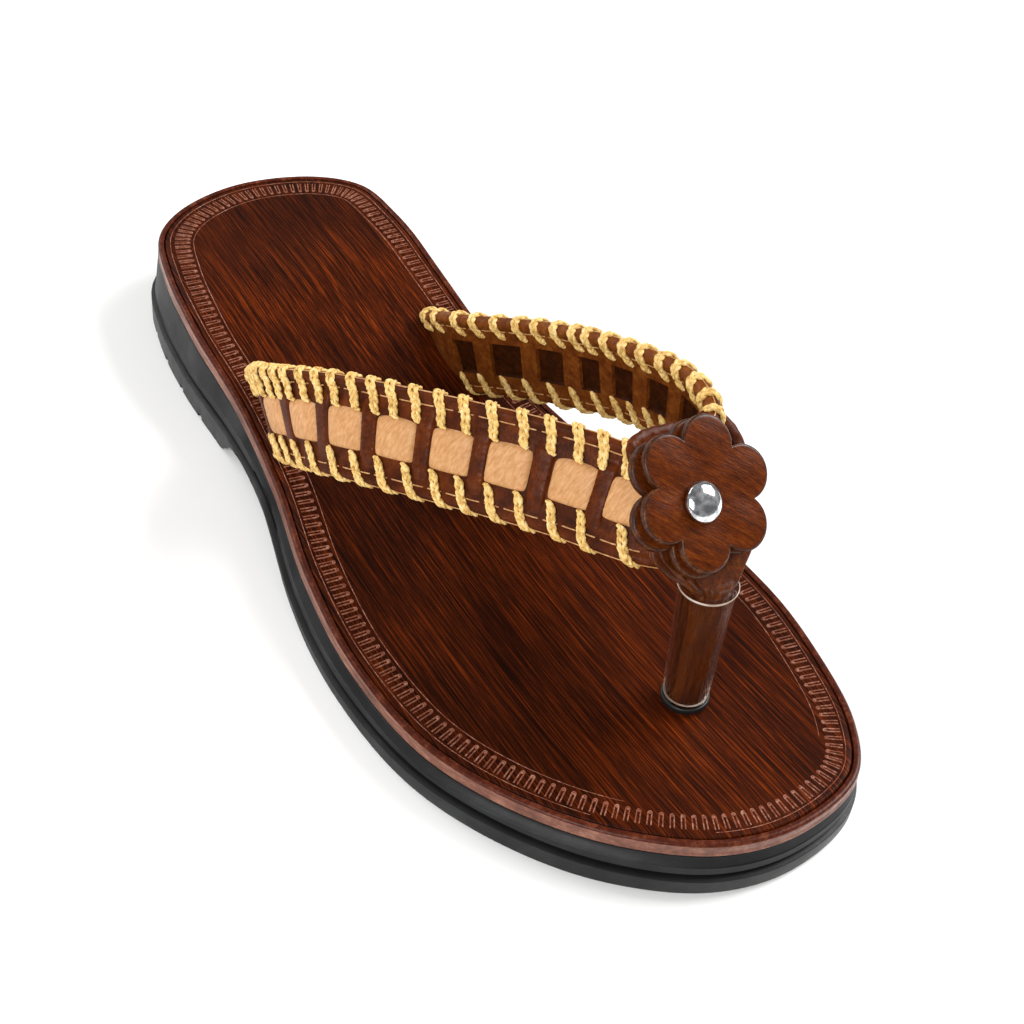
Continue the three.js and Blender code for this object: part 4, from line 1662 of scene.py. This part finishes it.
@dataclass
class Wrap:
    """The leather that is folded round the straps' joint, behind the flower."""

    hub: Hub

    def build(self) -> None:
        """Lay the folds one over the other."""
        outer = [(-8.4, 8, -6.4), (-8.9, 11, -6.2), (-8, 13.2, -6.4), (-4.5, 14, -7), (0, 13.6, -7.6)]
        outer += [(6, 12.8, -8.2)]
        inner = [(-8, 9.5, -5.9), (-6.6, 11.6, -5.8), (-2, 12.2, -6), (3, 11, -6.2)]
        left = [(-9.2, 3, -5.8), (-8.2, 6.5, -5.7), (-6.4, 9.4, -5.7)]
        right = [(9, 13, -8.5), (13, 12.6, -7.6), (15.2, 9, -7), (15.6, 4, -6.8), (14.2, -1, -6.6)]
        right += [(10, -5, -7)]
        folds = ((outer, 1.5, 0.9), (inner, 1.5, 1.0), (left, 1.2, 0.8), (right, 1.5, 0.8))
        pieces = [self.fold(number, *fold) for number, fold in enumerate(folds)]
        wrap = join("joint_wrap", pieces)
        soften(wrap, 60)
        dress(wrap, [Finishes.BAR], ["upper"])

    def fold(self, number: int, points: Sequence[Point], wide: float, thick: float) -> bpy.types.Object:
        """Roll one fold along its line.

        Args:
            number: The fold's number, which sets its wrinkles.
            points: Its line in the flower's frame.
            wide: Its half width.
            thick: Its half thickness.

        Returns:
            The fold, closed at both ends.
        """
        line = spline(np.array(points, float), False, 10)
        side = unit(np.cross([0.0, 0.0, 1.0], unit(np.gradient(line, axis=0))))
        count = len(line) - 1

        def place(u: Array, v: Array) -> Array:
            """Place points on the fold.

            Args:
                u: Shares of a full turn.
                v: Numbers of the line's points.

            Returns:
                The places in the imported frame.
            """
            at = np.rint(v).astype(int)
            share = v / count
            close = np.clip(np.minimum(share, 1 - share) / 0.07, 0.05, 1) ** 0.5
            angle = u * TURN
            wrinkle = 0.06 * np.sin(v * 0.9 + number) * np.cos(3 * angle) + 0.03 * np.sin(v * 1.3 + 2 * angle)
            reach = (wide + wrinkle) * close
            spot = line[at] + side[at] * (np.cos(angle) * reach)[:, None]
            spot[:, 2] += np.sin(angle) * (thick + wrinkle) * close
            return self.hub.behind(self.hub.on_flower(spot[:, 0], spot[:, 1], spot[:, 2]))

        fold = sheet_of("fold", np.linspace(0, 1, 33), range(count + 1), place)
        clean(fold, fill=True)
        return fold


@dataclass
class Flower:
    """Two stacked leather flowers and the rivet that holds them."""

    hub: Hub
    radius: float = 15.5
    lobe: float = 5.6
    thick: float = 1.9
    rivet_radius: float = 4.1
    rivet_across: float = -2.2
    rivet_up: float = -1.2

    def aside(self, angle: Array) -> Array:
        """The angle from the nearest petal's middle, with one petal straight up."""
        sector = math.pi / 3
        return np.mod(angle - math.pi / 2 + sector / 2, sector) - sector / 2

    def reach(self, angle: Array) -> Array:
        """The outline's radius at an angle.

        Args:
            angle: Angles about the flower's normal, in radians.

        Returns:
            The radii.
        """
        ring = self.radius - self.lobe
        off = self.aside(angle)
        return ring * np.cos(off) + np.sqrt(self.lobe**2 - (ring * np.sin(off)) ** 2)

    def layer(self, name: str, node: str, twist: float, across: float, up: float, level: float) -> None:
        """Cut one layer, with rolled edges and soft swells on its petals.

        Args:
            name: The piece's name.
            node: The solid that it stands for.
            twist: Its turn about the flower's normal, in degrees.
            across: Its shift across.
            up: Its shift up.
            level: How far its face lies behind the flower's front.
        """
        inner = np.linspace(0, 0.93, 15)
        profile = [(share, 0.0, 0.0) for share in inner]
        profile += [(1, -0.7, 0), (1, -0.4, -0.06), (1, -0.14, -0.2), (1, 0, -0.45)]
        profile += [(1, 0, -self.thick + 0.4), (1, -0.15, -self.thick + 0.12), (1, -0.45, -self.thick)]
        profile.append((0, 0, -self.thick))
        table = np.array(profile)
        span = np.arange(len(table))
        tilt = math.radians(twist)

        def place(u: Array, v: Array) -> Array:
            """Place points on the layer.

            Args:
                u: Shares of a full turn.
                v: Row numbers of the profile.

            Returns:
                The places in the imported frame.
            """
            angle = u * TURN
            share, off, down = (np.interp(v, span, table[:, k]) for k in range(3))
            radius = share * (self.reach(angle) + off)
            petal = np.cos(self.aside(angle) * 3) ** 2
            swell = 0.28 * smooth(0.25, 0.6, share) * (1 - smooth(0.75, 1.0, share)) * petal
            front = np.where(down > -0.01, swell - 0.12 * (1 - smooth(0.1, 0.4, share)), 0)
            x = radius * np.cos(angle + tilt) + across
            y = radius * np.sin(angle + tilt) + up
            return self.hub.on_flower(x, y, down + front - level)

        def parts(u: Array, v: Array) -> Array:
            """Give the cut edge its own finish."""
            return np.where((v > 15.4) & (v < 18.6), 1, 0)

        layer = sheet_of(name, np.linspace(0, 1, 241), range(len(profile)), place, parts)
        clean(layer)
        soften(layer, 50)
        dress(layer, [Finishes.PETAL, Finishes.RIM], [node])

    def rivet(self) -> None:
        """Set the chrome rivet."""
        full = self.rivet_radius
        profile = [(0, -7.4), (1.3, -7.4), (1.3, 0.3), (4.0, 0.3), (full, 0.4), (full, 0.8)]
        rise = np.linspace(0, math.pi / 2, 15)
        profile += [(full * math.cos(a), 0.9 + 2.0 * math.sin(a)) for a in rise]

        def place(u: Array, v: Array) -> Array:
            """Place points on the rivet.

            Args:
                u: Shares of a full turn.
                v: Row numbers of the profile.

            Returns:
                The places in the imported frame.
            """
            radius, up = between(profile, v)
            x = radius * np.cos(u * TURN) + self.rivet_across
            y = radius * np.sin(u * TURN) + self.rivet_up
            return self.hub.on_flower(x, y, up)

        rivet = sheet_of("rivet_dome", np.linspace(0, 1, 65), range(len(profile)), place)
        clean(rivet)
        soften(rivet, 45)
        dress(rivet, [Finishes.CHROME], ["rivet"])

    def build(self) -> None:
        """Make the flower."""
        self.layer("flower_under", "flower_back", -22, -1.4, -0.2, 2.2)
        self.layer("flower_top", "flower_front", -25, 0, 0, 0)
        self.rivet()


@dataclass
class Studio:
    """Camera, lights and floor."""

    azimuth: float = -37.36
    elevation: float = 44.06
    roll: float = 7.19
    focal: float = 1439.6
    pixels: int = 1024
    sensor: float = 36.0
    place: Point = (-141.82, -215.37, 250.62)
    lamp_size: float = 0.7
    glow: float = 0.36

    def camera(self) -> None:
        """Stand the camera where the photo was taken."""
        deselect()
        bpy.ops.object.camera_add()
        camera = bpy.context.object
        camera.name = "photo_camera"
        camera.data.sensor_width = self.sensor
        camera.data.lens = self.sensor * self.focal / self.pixels
        az, el, roll = (math.radians(a) for a in (self.azimuth, self.elevation, self.roll))
        back = Vector((math.sin(az) * math.cos(el), -math.cos(az) * math.cos(el), math.sin(el)))
        right = Vector((math.cos(az), math.sin(az), 0))
        up = back.cross(right)
        x = math.cos(roll) * right + math.sin(roll) * up
        y = -math.sin(roll) * right + math.cos(roll) * up
        turn = Matrix((x, y, back)).transposed().to_4x4()
        camera.matrix_world = Matrix.Translation(Vector(self.place) * MM) @ turn
        camera.data.clip_start = 0.01
        camera.data.clip_end = 20
        bpy.context.scene.camera = camera

    def lamp(self, name: str, power: float, place: Point) -> None:
        """Hang a square soft light that looks at the sandal.

        Args:
            name: The light's name.
            power: Its power in watts.
            place: Its place in metres.
        """
        deselect()
        bpy.ops.object.light_add(type="AREA", location=place)
        lamp = bpy.context.object
        lamp.name = name
        lamp.data.size = self.lamp_size
        lamp.data.energy = power
        lamp.rotation_euler = (Vector((0, 0, 0.02)) - Vector(place)).to_track_quat("-Z", "Y").to_euler()

    def build(self) -> None:
        """Set the studio."""
        self.camera()
        deselect()
        bpy.ops.mesh.primitive_plane_add(size=6)
        floor = newest("floor")
        floor.data.materials.append(Finishes.FLOOR.make())
        self.lamp("key", 19, (0.95, -0.15, 0.85))
        self.lamp("fill", 12, (-0.85, -0.5, 0.75))
        self.lamp("back", 6, (-0.35, 0.95, 0.8))
        world = bpy.data.worlds.new("soft white room")
        bpy.context.scene.world = world
        world.use_nodes = True
        tree = world.node_tree
        tree.nodes.clear()
        glow = add(tree, "ShaderNodeBackground", Color=linear("#ffffff"), Strength=self.glow)
        add(tree, "ShaderNodeOutputWorld", Surface=glow.outputs["Background"])
        view = bpy.context.scene.view_settings
        view.view_transform = "Standard"


def main() -> None:
    """Build the sandal."""
    logging.basicConfig(level=logging.INFO, format="%(message)s")
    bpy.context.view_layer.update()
    last = Last()
    hub = Hub(last)
    Sole(last).build()
    Footbed(last).build()
    lateral = rows(
        "along across up lean width",
        (0.338, -0.275, 0.185, -42, 1),
        (0.374, -0.34, 0.343, -22, 1),
        (0.418, -0.374, 0.483, -1, 1),
        (0.515, -0.32, 0.692, 22, 1),
        (0.612, -0.184, 0.802, 30, 1),
        (0.706, -0.031, 0.868, 36, 1),
        (0.765, 0.05, 0.9, 40, 0.98),
        (0.802, 0.115, 0.92, 43, 0.9),
    )
    medial = rows(
        "along across up lean width",
        (0.323, 0.246, 0.18, 19, 1),
        (0.364, 0.205, 0.323, 17, 1),
        (0.411, 0.2, 0.447, 12, 1),
        (0.51, 0.259, 0.655, 10, 1),
        (0.611, 0.297, 0.845, 14, 1),
        (0.7, 0.303, 0.96, 12, 1),
        (0.76, 0.252, 0.995, 18, 0.95),
        (0.79, 0.13, 1.01, 34, 0.85),
        (0.785, 0.03, 1.01, 42, 0.8),
    )
    over = (6, 11, 16, 20.8, 25.2, 29.6, 33.5, 37.5, 42.7, 47.7, 52.4, 57.6, 62.5)
    over += (67.4, 72.5, 78.6, 84.3, 90.6, 96.8, 102.9, 108.8, 114.1, 119.6)
    under = (17.5, 24.5, 30.9, 36.6, 43.8, 52, 58.8, 66, 72.6, 79.8, 86, 93, 99.8, 107.5, 114.9, 123.6)
    squares = (30.5, 43.4, 57, 70.4, 83.9, 97, 111.7, 124.3)
    Strap("lateral_strap", Ribbon(last, lateral, 1), hub, squares, squares, 0, over, under).build()
    over = (5, 12, 19.2, 28.8, 35.7, 42.7, 50.1, 56.7, 63.6, 70.1, 74.8, 80.5, 86.3)
    over += (91.9, 97.5, 103.2, 108.8, 114.4, 119.8, 125, 130)
    under = (12, 19, 27.3, 35.8, 44, 52.5, 60.5, 68.2, 74.7, 80.8, 86.1, 92, 98.2, 104.4, 110.6, 116.8)
    windows = (26.3, 42, 57.4, 71.2, 82.4, 94, 105.5)
    halves = (4.3, 5.2, 4.6, 3.4, 3.4, 3.4, 3.4)
    squares = windows + (117.5, 129)
    ribbon = Ribbon(last, medial, -1)
    Strap("medial_strap", ribbon, hub, squares, windows, 0.4, over, under, halves, 2.2).build()
    Post(hub).build()
    Wrap(hub).build()
    Flower(hub).build()
    Studio().build()


if __name__ == "__main__":
    main()
